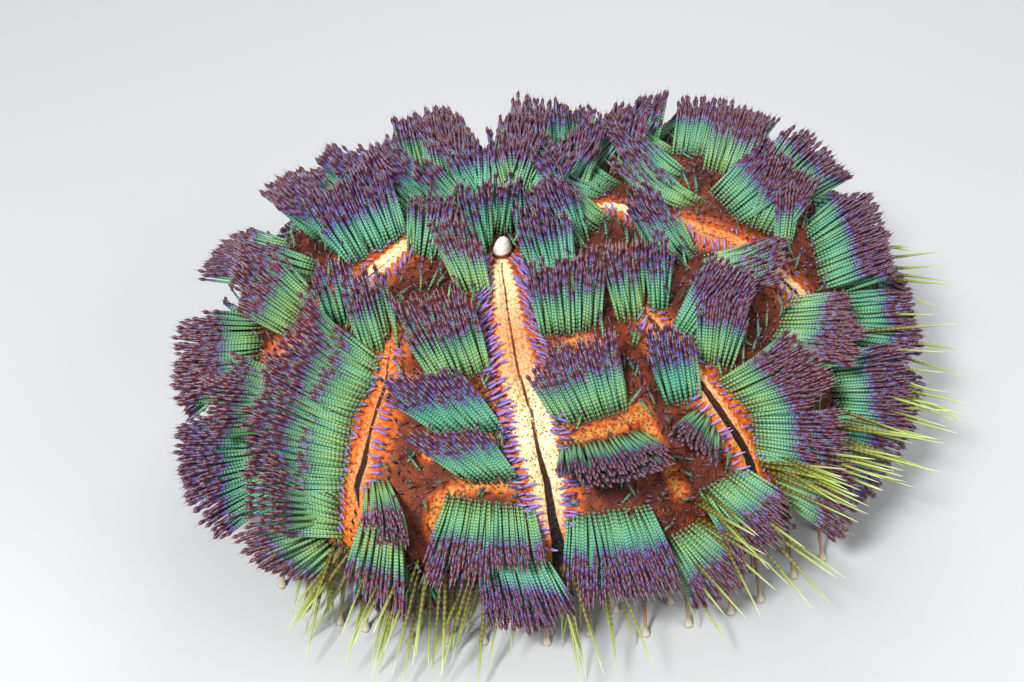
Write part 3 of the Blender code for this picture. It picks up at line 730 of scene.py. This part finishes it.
def strays(plots):
    """Single short spines of comb kind, on the skin that no comb grows on."""
    place, arc = even_places(STRAY_PITCH)
    shift = RANDOM.uniform(-0.5, 0.5, (2, arc.size)) * STRAY_PITCH
    arc = arc + shift[0]
    place = place + np.degrees(shift[1] / waist_mm(place, arc))
    foot, normal, to_apex, side = skin_frame(place, arc * MM)
    _, edge, _, _ = nearest_strip(place, arc, waist_mm(place, arc))
    kept = is_open(edge, foot) & (RANDOM.uniform(0.0, 1.0, arc.size) < STRAY_SHARE)
    for plot in plots.values():
        along, across, off_level = on_plot(plot, foot)
        bed = (along > -BED_MARGIN) & (along < plot.depth)
        bed &= np.abs(across) < plot.half + BED_MARGIN
        kept &= ~(bed & (off_level < LEVEL_MARGIN))
    turned = RANDOM.uniform(-STRAY_TURN, STRAY_TURN, (arc.size, 1))
    lying = to_apex * np.cos(turned) + side * np.sin(turned)
    aim = lain(normal, lying, RANDOM.uniform(*STRAY_TILTS, arc.size))
    length = MM * RANDOM.uniform(*STRAY_LENGTHS, arc.size)
    tone = RANDOM.uniform(0.0, 1.0, arc.size)
    girth = RANDOM.normal(*STRAY_GIRTH, arc.size)
    spines = Spines(foot, aim, 0.0 * normal, length, girth, tone, unwrap(place, arc * MM))
    return chosen(spines, kept)


def spinelets():
    """Very small spines scattered over the bare skin."""
    place, arc = even_places(SPINELET_PITCH)
    place = place + RANDOM.uniform(-SPINELET_TURN, SPINELET_TURN, arc.size)
    arc = arc + RANDOM.uniform(-SPINELET_SHIFT, SPINELET_SHIFT, arc.size)
    _, edge, _, _ = nearest_strip(place, arc, waist_mm(place, arc))
    foot, normal, to_apex, side = skin_frame(place, arc * MM)
    kept = is_open(edge, foot)
    place, arc, foot, normal = place[kept], arc[kept], foot[kept], normal[kept]
    turned = RANDOM.uniform(0.0, math.tau, (arc.size, 1))
    lying = to_apex[kept] * np.cos(turned) + side[kept] * np.sin(turned)
    aim = lain(normal, lying, RANDOM.uniform(*SPINELET_TILTS, arc.size))
    length = MM * RANDOM.uniform(*SPINELET_LENGTHS, arc.size)
    tone = RANDOM.uniform(0.0, 1.0, arc.size)
    girth = RANDOM.normal(1.0, 0.1, arc.size)
    return Spines(foot, aim, 0.0 * normal, length, girth, tone, unwrap(place, arc * MM))


def rim_spines():
    """Long pointed spines in loose clusters round the lower rim, out and down."""
    behind = [(place, *RIM_CLUSTER_BEHIND) for place in range(*RIM_BEHIND)]
    groups = []
    for middle, spread, count, slant, rooted in RIM_CLUSTERS + tuple(behind):
        place = middle + RANDOM.uniform(-spread, spread, count)
        arc = rooted + RANDOM.uniform(-RIM_ARC_SPREAD, RIM_ARC_SPREAD, count)
        foot, normal, to_apex, side = skin_frame(place, arc * MM)
        cluster_slant = RANDOM.normal(slant, RIM_CLUSTER_SCATTER)
        lean = RANDOM.normal(cluster_slant, RIM_SLANT_SCATTER, (count, 1))
        tilt = RANDOM.normal(*RIM_TILT, count)
        aim = lain(normal, side * lean - to_apex, tilt)
        length = RIM_LENGTH * MM * RANDOM.uniform(*RIM_LENGTH_SHARES, count)
        aim, length = above_floor(foot, aim, length)
        sag = normal * RANDOM.normal(0.0, RIM_SAG, count)[:, None]
        tone = RANDOM.uniform(0.0, 1.0, count)
        girth = RANDOM.normal(1.0, RIM_GIRTH_SCATTER, count)
        groups.append(Spines(foot, aim, sag, length, girth, tone, unwrap(place, arc * MM)))
    return gathered(groups)


def walking_spines():
    """Spines under the body that end in flared hooves on the floor."""
    groups = []
    for _, left, _, right in SECTORS:
        for arc, spread, count in WALKING_ROWS:
            place = left + (right - left) * (np.arange(count) + 0.5) / count
            place = place + RANDOM.normal(0.0, WALKING_SCATTER, count)
            arcs = np.full(count, arc * MM)
            root, _, _, _ = skin_frame(place, arcs)
            sole = root + outward(place) * spread * MM
            sole[:, 2] = 0.0
            span = sole - root
            length = np.linalg.norm(span, axis=1)
            tone = RANDOM.uniform(0.0, 1.0, count)
            home = unwrap(place, arcs)
            groups.append(Spines(root, unit(span), 0.0 * root, length, np.ones(count), tone, home))
    return gathered(groups)


def tube_quads(stations, sides):
    """Faces of a closed tube, and each face corner's place round and along it."""
    quads = []
    places = []
    for level in range(stations - 1):
        low = level * sides
        above = level + 1
        for step in range(sides):
            after = (step + 1) % sides
            quads.append((low + step, low + after, low + sides + after, low + sides + step))
            places.append(((step, level), (step + 1, level), (step + 1, above), (step, above)))
    top = stations - 1
    last = top * sides
    for step in range(1, sides - 1, 2):
        far = (step + 2) % sides
        quads.append((far, step + 1, step, 0))
        places.append(((step + 2, 0), (step + 1, 0), (step, 0), (0, 0)))
        quads.append((last, last + step, last + step + 1, last + far))
        places.append(((0, top), (step, top), (step + 1, top), (step + 2, top)))
    return np.array(quads), np.array(places, dtype=float)


def repeated(quads, count, stride):
    """Faces of many equal meshes, each with so many points, as one list."""
    faces = quads[None] + (np.arange(count) * stride)[:, None, None]
    return faces.reshape(-1, 4)


def added(name, data):
    """A new object in the scene, from a mesh, a lamp or a lens."""
    thing = bpy.data.objects.new(name, data)
    bpy.context.scene.collection.objects.link(thing)
    return thing


def mesh_object(name, points, quads):
    """A smooth mesh object from points and four-sided faces."""
    mesh = bpy.data.meshes.new(name)
    mesh.from_pydata(points, [], quads)
    mesh.polygons.foreach_set("use_smooth", np.ones(len(mesh.polygons), dtype=bool))
    return added(name, mesh)


def add_field(piece, name, values, domain="POINT"):
    """Stores a number at each point or face corner of a mesh, for its material to read."""
    field = piece.data.attributes.new(name, "FLOAT", domain)
    field.data.foreach_set("value", np.ascontiguousarray(values, dtype=np.float32).ravel())


def add_unwrap(piece, places):
    """Stores the map that colours are baked to, one place for each face corner."""
    layer = piece.data.uv_layers.new(name="OFBake")
    layer.data.foreach_set("uv", np.ascontiguousarray(places, dtype=np.float32).ravel())


def spine_points(spines, share, radius, sides):
    """Points round each spine at each station, and the stations' distances from its foot."""
    run = spines.length[:, None] * share - ROOT_SINK * (share == 0.0)
    centre = spines.foot[:, None] + spines.aim[:, None] * run[..., None]
    centre = centre + spines.sag[:, None] * (share * share)[None, :, None]
    upright = np.abs(spines.aim[:, 2:3]) > NEARLY_UPRIGHT
    helper = np.where(upright, [[1.0, 0.0, 0.0]], [[0.0, 0.0, 1.0]])
    first = unit(np.cross(helper, spines.aim))
    second = np.cross(spines.aim, first)
    angle = np.arange(sides) * math.tau / sides
    ring = first[:, None] * np.cos(angle)[:, None] + second[:, None] * np.sin(angle)[:, None]
    wide = (spines.girth[:, None] * radius)[..., None, None]
    points = centre[:, :, None] + ring[:, None] * wide
    points[..., 2] = np.maximum(points[..., 2], 0.0)
    return points, run


def spine_piece(name, spines, profile, sides):
    """One mesh of many closed, tapered spines."""
    share = np.array([station[0] for station in profile])
    radius = np.array([station[1] for station in profile]) * MM
    count = spines.length.size
    points, run = spine_points(spines, share, radius, sides)
    quads, places = tube_quads(len(profile), sides)
    stride = len(profile) * sides
    piece = mesh_object(name, points.reshape(-1, 3), repeated(quads, count, stride))
    add_field(piece, "along", np.repeat(np.tile(share, count), sides))
    add_field(piece, "run", np.repeat(np.maximum(run, 0.0) * PER_METRE, sides))
    add_field(piece, "tone", np.repeat(spines.tone, stride))
    add_field(piece, "round", np.tile(places[..., 0].ravel() / sides, count), "CORNER")
    offset = np.stack([places[..., 0] / sides, share[places[..., 1].astype(int)]], axis=-1) - 0.5
    add_unwrap(piece, spines.home[:, None, None] + offset[None] * BAKE_PATCH)
    return piece


def tint(red, green, blue):
    """A colour as seen on screen, from 0 to 255, in the linear light that shaders use."""
    parts = [value / 255.0 for value in (red, green, blue)]
    return tuple(((part + SCREEN_OFFSET) / (1.0 + SCREEN_OFFSET)) ** SCREEN_POWER
                 if part > SCREEN_KNEE else part / SCREEN_SLOPE for part in parts) + (1.0,)


def stops(*rows):
    """Stops of a colour ramp, from rows of place, red, green and blue."""
    return tuple((place, tint(*colour)) for place, *colour in rows)


class Shading:
    """Short names for the nodes of one material."""

    def __init__(self, name):
        self.material = bpy.data.materials.new(name)
        self.material.use_nodes = True
        self.nodes = self.material.node_tree.nodes
        self.links = self.material.node_tree.links
        self.shader = self.nodes["Principled BSDF"]

    def feed(self, socket, value):
        """Links an output to an input, or sets the input to a number or colour."""
        if isinstance(value, bpy.types.NodeSocket):
            self.links.new(value, socket)
        else:
            socket.default_value = value

    def field(self, name):
        """A number stored on the mesh."""
        node = self.nodes.new("ShaderNodeAttribute")
        node.attribute_name = name
        return node.outputs["Fac"]

    def maths(self, operation, first, second=0.0):
        """One step of arithmetic."""
        node = self.nodes.new("ShaderNodeMath")
        node.operation = operation
        self.feed(node.inputs[0], first)
        self.feed(node.inputs[1], second)
        return node.outputs[0]

    def times(self, first, second):
        """The product of two values."""
        return self.maths("MULTIPLY", first, second)

    def fade(self, value, start, end):
        """A smooth step from 0 at start to 1 at end."""
        node = self.nodes.new("ShaderNodeMapRange")
        node.interpolation_type = "SMOOTHSTEP"
        self.feed(node.inputs["Value"], value)
        if start < end:
            ends = (start, end, 0.0, 1.0)
        else:
            ends = (end, start, 1.0, 0.0)
        for name, number in zip(("From Min", "From Max", "To Min", "To Max"), ends):
            node.inputs[name].default_value = number
        return node.outputs["Result"]

    def ramp(self, value, marks):
        """Colours along a value, from marks of place and colour."""
        node = self.nodes.new("ShaderNodeValToRGB")
        scale = node.color_ramp
        while len(scale.elements) < len(marks):
            scale.elements.new(0.5)
        for element, (place, colour) in zip(scale.elements, marks):
            element.position = place
            element.color = colour
        self.feed(node.inputs["Fac"], value)
        return node.outputs["Color"]

    def mix(self, share, first, second):
        """One colour over another."""
        node = self.nodes.new("ShaderNodeMix")
        node.data_type = "RGBA"
        self.feed(node.inputs["Factor"], share)
        self.feed(node.inputs[6], first)
        self.feed(node.inputs[7], second)
        return node.outputs[2]

    def texture(self, kind, scale):
        """A texture fixed to the object, in cells per metre."""
        place = self.nodes.new("ShaderNodeTexCoord")
        node = self.nodes.new(f"ShaderNodeTex{kind}")
        node.inputs["Scale"].default_value = scale
        self.links.new(place.outputs["Object"], node.inputs["Vector"])
        return node

    def noise(self, scale, detail):
        """Soft noise."""
        node = self.texture("Noise", scale)
        node.inputs["Detail"].default_value = detail
        return node.outputs["Fac"]

    def cells(self, scale):
        """Distance to the nearest of many scattered points."""
        return self.texture("Voronoi", scale).outputs["Distance"]

    def raised(self, height, distance):
        """Fine relief, as metres of height."""
        node = self.nodes.new("ShaderNodeBump")
        node.inputs["Strength"].default_value = RELIEF_STRENGTH
        node.inputs["Distance"].default_value = distance
        self.links.new(height, node.inputs["Height"])
        self.links.new(node.outputs["Normal"], self.shader.inputs["Normal"])

    def finish(self, colour, roughness):
        """Sets the colour and the roughness of the surface."""
        self.feed(self.shader.inputs["Base Color"], colour)
        self.shader.inputs["Roughness"].default_value = roughness


def spine_material(name, first_stops, second_stops, beads):
    """A glossy spine in colours that run from root to tip, with rows of beads on its shaft.

    beads holds the share of the length where they end, their pitch in mm, their colour, partly a
    painted highlight, and the colour between them, which is painted shade.
    """
    shade = Shading(name)
    along = shade.field("along")
    colour = shade.mix(shade.field("tone"), shade.ramp(along, first_stops),
                       shade.ramp(along, second_stops))
    end, pitch, bead_and_highlight_colour, gap_shade_colour = beads
    ring = shade.maths("SINE", shade.times(shade.field("run"), math.tau / pitch))
    round_turns = shade.times(shade.field("round"), math.tau * BEAD_ROWS)
    row = shade.maths("COSINE", round_turns)
    on_shaft = shade.fade(along, end, end - 0.06)
    crest_and_highlight = shade.times(shade.fade(ring, 0.0, 0.9), shade.fade(row, -0.4, 0.6))
    between = shade.maths("MAXIMUM", shade.fade(ring, -0.2, -0.95), shade.fade(row, -0.5, -1.0))
    crest_and_highlight = shade.times(crest_and_highlight, on_shaft)
    between = shade.times(between, on_shaft)
    # Painted shade in the troughs between the beads, and a painted highlight on the beads' tops
    colour = shade.mix(shade.times(between, BEAD_SHADING_SHARE), colour, gap_shade_colour)
    colour = shade.mix(shade.times(crest_and_highlight, BEAD_SHADING_SHARE), colour, bead_and_highlight_colour)
    shade.raised(crest_and_highlight, BEAD_HEIGHT)
    shade.finish(colour, roughness=0.38)
    return shade.material


def comb_material():
    """Comb spines: painted shade at the roots, green shafts, violet necks, dark red sacs, pale
    needles.
    """
    # The dark first stop of each ramp, at the roots, is painted shade
    teal = stops((0.00, 46, 60, 44), (0.12, 80, 158, 112), (0.36, 88, 186, 148),
                 (0.60, 74, 158, 150), (0.70, 60, 68, 104), (0.75, 104, 90, 168),
                 (0.79, 94, 72, 142), (0.83, 84, 40, 58), (0.88, 70, 30, 36),
                 (0.91, 104, 78, 112), (1.00, 184, 168, 196))
    lime = stops((0.00, 66, 70, 36), (0.12, 146, 168, 80), (0.36, 150, 192, 104),
                 (0.60, 104, 162, 112), (0.70, 76, 72, 84), (0.75, 126, 112, 150),
                 (0.79, 110, 84, 124), (0.83, 98, 46, 54), (0.88, 88, 36, 36),
                 (0.91, 116, 84, 96), (1.00, 190, 172, 184))
    # The light bead colour is partly painted highlight, and the dark colour between the beads is
    # painted shade
    beads = (0.74, 0.78, tint(200, 250, 214), tint(24, 58, 42))
    return spine_material("comb_spine", teal, lime, beads)


def fringe_material():
    """Fringe spines: violet over most of their length, with pale points."""
    cool = stops((0.0, 92, 70, 96), (0.22, 112, 92, 150), (0.45, 132, 112, 190),
                 (0.9, 144, 110, 190), (1.0, 206, 188, 220))
    warm = stops((0.0, 120, 86, 92), (0.22, 142, 108, 150), (0.45, 162, 132, 204),
                 (0.9, 166, 120, 186), (1.0, 218, 196, 220))
    # The light bead colour is partly painted highlight, and the dark colour between the beads is
    # painted shade
    beads = (0.4, 1.1, tint(150, 190, 215), tint(50, 60, 100))
    return spine_material("fringe_spine", cool, warm, beads)


def spinelet_material():
    """Spinelets: dark red roots and violet points."""
    red = stops((0.0, 82, 36, 24), (0.5, 96, 50, 52), (0.8, 116, 84, 132), (1.0, 170, 150, 190))
    brown = stops((0.0, 70, 34, 22), (0.5, 88, 60, 44), (0.8, 108, 96, 96), (1.0, 176, 166, 170))
    # The light bead colour is partly painted highlight, and the dark colour between the beads is
    # painted shade
    return spine_material("spinelet", red, brown, (0.5, 1.0, tint(140, 90, 80), tint(50, 22, 18)))


def rim_material():
    """Rim spines: brown and beaded at the root, then yellow-green to a pale point."""
    lime = stops((0.0, 88, 70, 30), (0.3, 122, 118, 40), (0.6, 146, 158, 62),
                 (0.85, 184, 204, 112), (1.0, 226, 234, 190))
    olive = stops((0.0, 74, 56, 32), (0.3, 102, 94, 38), (0.6, 128, 134, 58),
                  (0.85, 164, 182, 102), (1.0, 218, 228, 184))
    # The light bead colour is partly painted highlight, and the dark colour between the beads is
    # painted shade
    beads = (0.62, 1.3, tint(178, 178, 88), tint(72, 40, 24))
    return spine_material("rim_spine", lime, olive, beads)


def walking_material():
    """Walking spines: dull red shafts and pale hooves."""
    red = stops((0.0, 92, 38, 30), (0.6, 132, 82, 62), (0.86, 160, 128, 100),
                (0.93, 190, 178, 152), (1.0, 206, 197, 176))
    brown = stops((0.0, 76, 36, 30), (0.6, 118, 92, 64), (0.86, 152, 130, 100),
                  (0.93, 186, 175, 150), (1.0, 202, 193, 172))
    # The light bead colour is partly painted highlight, and the dark colour between the beads is
    # painted shade
    beads = (0.7, 1.3, tint(170, 120, 95), tint(60, 30, 24))
    return spine_material("walking_spine", red, brown, beads)


def smooth_step(value, start, end):
    """A smooth step from 0 at start to 1 at end."""
    share = np.clip((value - start) / (end - start), 0.0, 1.0)
    return share * share * (3.0 - 2.0 * share)


def skin_grid():
    """The skin's azimuths, and each point, its arc and its distance from the axis, in mm."""
    azimuth = np.arange(SKIN_TURNS) * 360.0 / SKIN_TURNS
    narrow = (PIT_RADIUS / reach(azimuth)) ** (1.0 / SIDE_ROUNDNESS)
    mouth_polar = 180.0 - np.degrees(np.arcsin(narrow))
    share = (np.arange(SKIN_RINGS) + FIRST_RING) / (SKIN_RINGS - 1 + FIRST_RING)
    polar = share[:, None] * mouth_polar[None, :]
    grid_azimuth = np.broadcast_to(azimuth, polar.shape)
    points = skin_point(grid_azimuth, polar)
    steps = np.linalg.norm(np.diff(points, axis=0), axis=2)
    from_apex = np.linalg.norm(points[0] - skin_point(0.0, 0.0), axis=1)
    arc = np.concatenate([from_apex[None], from_apex[None] + np.cumsum(steps, axis=0)])
    radius = reach(grid_azimuth) * np.abs(np.sin(np.radians(polar))) ** SIDE_ROUNDNESS
    return azimuth, points, arc * PER_METRE, radius * PER_METRE


def lifted(points, away, edge, groove):
    """The skin's points raised along the strips, and sunk in the slits and grooves."""
    across = np.roll(points, -1, axis=1) - np.roll(points, 1, axis=1)
    down = np.gradient(points, axis=0)
    normal = unit(np.cross(down, across))
    lift = STRIP_LIFT * smooth_step(edge, *STRIP_SLOPE)
    lift = lift - SLIT_DROP * smooth_step(away, *SLIT_SLOPE)
    lift = lift - GROOVE_DROP * smooth_step(groove, *GROOVE_SLOPE)
    return points + normal * lift[..., None]


def pit_rings(azimuth):
    """The rings of the mouth pit, from its edge to the middle of its top."""
    rings = []
    for share, drop in PIT_RINGS:
        centre = axis_at(np.full(azimuth.shape, PIT_Z - drop))
        rings.append(centre + outward(azimuth) * PIT_RADIUS * share)
    return np.array(rings)


def with_pit(values):
    """A field of the skin, carried on over the rings of the mouth pit."""
    return np.concatenate([values, np.repeat(values[-1:], len(PIT_RINGS), axis=0)])


def ring_quads(rings, turns):
    """Faces between rings of points, each ring closed on itself."""
    ring, step = np.divmod(np.arange((rings - 1) * turns), turns)
    after = (step + 1) % turns
    low = ring * turns
    return np.stack([low + step, low + turns + step, low + turns + after, low + after], axis=1)


def close_ends(piece):
    """Closes the small ring of edges that is left open at the apex and in the mouth pit."""
    build = bmesh.new()
    build.from_mesh(piece.data)
    open_edges = [edge for edge in build.edges if edge.is_boundary]
    bmesh.ops.holes_fill(build, edges=open_edges, sides=SKIN_TURNS)
    build.to_mesh(piece.data)
    build.free()


def skin_piece():
    """The whole skin from the apex to the mouth pit, as one closed mesh."""
    azimuth, points, arc, radius = skin_grid()
    away, edge, pale, slit = nearest_strip(np.broadcast_to(azimuth, arc.shape), arc, radius)
    groove = groove_distance(points.reshape(-1, 3)).reshape(arc.shape)
    points = np.concatenate([lifted(points, away, edge, groove), pit_rings(azimuth)])
    quads = ring_quads(points.shape[0], SKIN_TURNS)
    piece = mesh_object("skin", points.reshape(-1, 3), quads)
    for name, values in zip(SKIN_FIELDS, (away, edge, pale, slit, groove, arc)):
        add_field(piece, name, with_pit(values))
    whole_arc = with_pit(arc)
    home = unwrap(np.broadcast_to(azimuth, whole_arc.shape), whole_arc * MM)
    add_unwrap(piece, home.reshape(-1, 2)[quads])
    close_ends(piece)
    return piece


def ground_colour(shade, soft, fine):
    """Maroon skin, orange by the strips, and grooves with golden middles and dark red beads."""
    groove = shade.field("groove")
    maroon = shade.ramp(soft, stops((0.3, 60, 23, 13), (0.5, 94, 38, 18), (0.72, 140, 60, 24)))
    orange = shade.ramp(fine, stops((0.3, 150, 56, 14), (0.5, 206, 92, 26), (0.7, 232, 128, 44)))
    golden = shade.ramp(fine, stops((0.3, 160, 92, 34), (0.7, 222, 152, 72)))
    wander = shade.times(shade.maths("SUBTRACT", soft, 0.5), 12.0)
    glow = shade.fade(shade.maths("ADD", shade.field("edge"), wander), 6.5, 0.0)
    rim = shade.maths("ADD", groove, shade.times(wander, 0.2))
    trench = shade.fade(rim, 3.2, 0.9)
    colour = shade.mix(shade.maths("MAXIMUM", glow, trench), maroon, orange)
    colour = shade.mix(shade.fade(groove, 1.7, 0.7), colour, golden)
    bead = shade.times(shade.fade(shade.cells(1050.0), 0.46, 0.30), trench)
    return shade.mix(shade.times(bead, 0.85), colour, tint(138, 44, 14))


def strip_colour(shade, grain):
    """Granular strips, cream where they are pale, with dark specks low down."""
    pale = shade.field("pale")
    cream = shade.ramp(grain, stops((0.0, 255, 246, 214), (0.5, 250, 228, 172),
                                    (0.9, 214, 164, 96)))
    warm = shade.ramp(grain, stops((0.0, 238, 150, 54), (0.5, 216, 110, 28), (0.9, 152, 66, 16)))
    speck = shade.fade(shade.cells(1050.0), 0.30, 0.20)
    speck = shade.times(speck, shade.fade(pale, 0.6, 0.9))
    speck = shade.times(speck, shade.fade(shade.field("arc"), 50.0, 58.0))
    return shade.mix(speck, shade.mix(pale, warm, cream), tint(112, 58, 26))


def skin_material():
    """Skin, its strips, their toothed edges, and dark slits that turn to painted shadow low down."""
    shade = Shading("urchin_skin")
    arc = shade.field("arc")
    soft = shade.noise(160.0, detail=4.0)
    fine = shade.noise(900.0, detail=3.0)
    grain = shade.cells(1300.0)

    notch = shade.maths("PINGPONG", arc, 1.05)
    toothed = shade.maths("ADD", shade.field("edge"), shade.times(notch, 1.1))
    inside = shade.fade(toothed, 0.35, -0.25)
    colour = shade.mix(inside, ground_colour(shade, soft, fine), strip_colour(shade, grain))

    uneven = shade.times(shade.maths("SUBTRACT", fine, 0.5), 0.35)
    ragged = shade.maths("ADD", shade.field("middle"), uneven)
    gap = shade.maths("SUBTRACT", ragged, shade.field("slit"))
    # The slits' red-brown darkens to near black lower down, and that near black is painted shadow
    dark = shade.ramp(shade.fade(arc, 50.0, 95.0), stops((0.0, 92, 38, 14), (1.0, 20, 9, 7)))
    colour = shade.mix(shade.fade(gap, 0.16, -0.06), colour, dark)
    shade.shader.inputs["Specular IOR Level"].default_value = 0.3
    relief = shade.maths("ADD", shade.times(grain, -1.0), fine)
    shade.raised(relief, SKIN_RELIEF)
    shade.finish(colour, roughness=0.62)
    return shade.material


def papilla_piece():
    """The white papilla at the top of the strip in front."""
    azimuth, arc, radius, height = PAPILLA
    share = np.linspace(0.0, 1.0, PAPILLA_RINGS)
    angle = np.arange(PAPILLA_SIDES) * math.tau / PAPILLA_SIDES
    foot, normal, to_apex, side = spot_frame(azimuth, arc)
    ring = side * np.cos(angle)[:, None] + to_apex * np.sin(angle)[:, None]
    wide = radius * MM * np.sqrt(np.maximum(0.0, 1.0 - share ** PAPILLA_BLUNTNESS))
    wide[-1] = radius * MM * PAPILLA_TIP
    rise = (share * (height + PAPILLA_SINK) - PAPILLA_SINK) * MM
    points = foot[None] + ring[None] * wide[:, None, None] + normal[None] * rise[:, None, None]
    quads, places = tube_quads(PAPILLA_RINGS, PAPILLA_SIDES)
    piece = mesh_object("papillae", points.reshape(-1, 3), quads)
    add_field(piece, "along", np.repeat(share, PAPILLA_SIDES))
    offset = places / (PAPILLA_SIDES, PAPILLA_RINGS) - 0.5
    home = unwrap(np.array([float(azimuth)]), np.array([arc * MM]))
    add_unwrap(piece, home[:, None] + offset * BAKE_PATCH)
    return piece


def papilla_material():
    """Chalk-white skin with a faint grain, on a brown base."""
    shade = Shading("papilla")
    white = shade.ramp(shade.cells(1500.0), stops((0.0, 255, 255, 250), (0.8, 226, 218, 204)))
    base = shade.fade(shade.field("along"), 0.44, 0.34)
    shade.finish(shade.mix(base, white, tint(112, 56, 26)), roughness=0.45)
    return shade.material


def teeth_piece():
    """The five teeth, pointing down from the mouth pit and nearly meeting at their tips."""
    stations = np.array(TOOTH_STATIONS)
    share = np.linspace(0.0, 1.0, TOOTH_RINGS)
    order = np.linspace(0.0, 1.0, len(TOOTH_STATIONS))
    height, inner, outer, half = (np.interp(share, order, stations[:, item]) for item in range(4))
    angle = np.arange(TOOTH_SIDES) * math.tau / TOOTH_SIDES
    radial = (inner + outer)[:, None] / 2 + (outer - inner)[:, None] / 2 * np.cos(angle)
    keel = TOOTH_BACK + TOOTH_KEEL * np.cos(angle)
    sideways = half[:, None] * np.sin(angle) * keel / TOOTH_WIDEST
    middle = axis_at(height)[:, None]
    points = []
    for number in range(TOOTH_COUNT):
        azimuth = 360.0 * number / TOOTH_COUNT
        away = outward(azimuth) * radial[..., None]
        aside = outward(azimuth + 90.0) * sideways[..., None]
        points.append(middle + away + aside)
    quads, places = tube_quads(TOOTH_RINGS, TOOTH_SIDES)
    faces = repeated(quads, TOOTH_COUNT, TOOTH_RINGS * TOOTH_SIDES)
    piece = mesh_object("teeth", np.array(points).reshape(-1, 3), faces)
    corner = places / (TOOTH_SIDES, TOOTH_RINGS)
    shift = np.arange(TOOTH_COUNT)[:, None, None, None] * (1.0 / TOOTH_COUNT, 0.0)
    add_unwrap(piece, corner[None] * (TOOTH_PATCH / TOOTH_COUNT, 1.0) + shift)
    return piece


def tooth_material():
    """Hard ivory, a little darker in fine streaks."""
    shade = Shading("ivory")
    streaks = stops((0.3, 206, 198, 176), (0.6, 240, 236, 222))
    shade.finish(shade.ramp(shade.noise(1400.0, detail=2.0), streaks), roughness=0.25)
    return shade.material


def add_floor():
    """The pale floor."""
    corners = [(-FLOOR_HALF, -FLOOR_HALF, 0), (FLOOR_HALF, -FLOOR_HALF, 0),
               (FLOOR_HALF, FLOOR_HALF, 0), (-FLOOR_HALF, FLOOR_HALF, 0)]
    floor = mesh_object("floor", corners, [(0, 1, 2, 3)])
    shade = Shading("floor")
    shade.finish(tint(196, 197, 198), roughness=0.8)
    floor.data.materials.append(shade.material)


def add_lights():
    """Soft light from all round, and three lamps."""
    world = bpy.data.worlds.new("studio")
    world.use_nodes = True
    sky = world.node_tree.nodes["Background"]
    sky.inputs["Color"].default_value = SKY_COLOUR
    sky.inputs["Strength"].default_value = SKY_STRENGTH
    bpy.context.scene.world = world
    bpy.context.scene.view_settings.view_transform = "Standard"
    for name, place, size, power in LAMPS:
        lamp = bpy.data.lights.new(name, "AREA")
        lamp.size = size
        lamp.energy = power
        light = added(name, lamp)
        light.location = place
        towards = Vector((0.0, 0.0, LAMP_TARGET_Z)) - Vector(place)
        light.rotation_euler = towards.to_track_quat("-Z", "Y").to_euler()


def add_camera():
    """The camera, which looks down on the animal's front as the photo does."""
    lens = bpy.data.cameras.new("camera")
    lens.lens = CAMERA_LENS
    lens.clip_start = CAMERA_CLIP
    lens.shift_x = -SHIFT_RIGHT_PIXELS / IMAGE_WIDTH
    lens.shift_y = SHIFT_DOWN_PIXELS / IMAGE_WIDTH
    camera = added("camera", lens)
    rise = math.radians(CAMERA_ELEVATION)
    target = Vector((BODY_X, BODY_Y, CAMERA_TARGET_Z))
    back = Vector((0.0, -math.cos(rise), math.sin(rise)))
    camera.location = target + back * CAMERA_DISTANCE
    camera.rotation_euler = back.to_track_quat("Z", "Y").to_euler()
    bpy.context.scene.camera = camera


def dress(piece, material):
    """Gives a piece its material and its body."""
    piece.data.materials.append(material)
    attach(piece, "root")


def add_spines(name, spines, profile, sides, material):
    """Adds one piece of spines, with its material and its body."""
    dress(spine_piece(name, spines, profile, sides), material)


def add_combs():
    """Adds a piece of comb spines for each sector, and the strays between the combs."""
    material = comb_material()
    plots = {comb: plot_of(comb) for sector in SECTORS for comb in combs_of(sector)}
    for sector in SECTORS:
        spines = gathered([comb_spines(comb, plots) for comb in combs_of(sector)])
        add_spines(f"combs_{sector[0]}", spines, COMB_PROFILE, COMB_SIDES, material)
    add_spines("stray_spines", strays(plots), COMB_PROFILE, COMB_SIDES, material)


def add_fringes():
    """Adds the fringes of all strips as one piece."""
    groups = []
    for strip in STRIPS:
        rows = FRONT_FRINGES if strip is STRIPS[0] else SIDE_FRINGES
        groups += [fringe(strip, hand, inset, pitch) for hand in (-1, 1) for inset, pitch in rows]
    add_spines("fringe_spines", gathered(groups), FRINGE_PROFILE, FRINGE_SIDES, fringe_material())


BODY_X, BODY_Y = body_shift()
POLARS = arc_table()
RANDOM = np.random.default_rng(SEED)

add_floor()
add_lights()
add_camera()

skin = skin_piece()
dress(skin, skin_material())
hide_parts("apical_disc", "peristome", *(sector[0] for sector in SECTORS))

add_combs()
add_fringes()
dress(papilla_piece(), papilla_material())
teeth = teeth_piece()
dress(teeth, tooth_material())
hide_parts(*(f"tooth_{number + 1}" for number in range(TOOTH_COUNT)))
add_spines("spinelets", spinelets(), SPINELET_PROFILE, SPINELET_SIDES, spinelet_material())
add_spines("rim_spines", rim_spines(), RIM_PROFILE, RIM_SIDES, rim_material())
add_spines("walking_spines", walking_spines(), WALKING_PROFILE, WALKING_SIDES, walking_material())
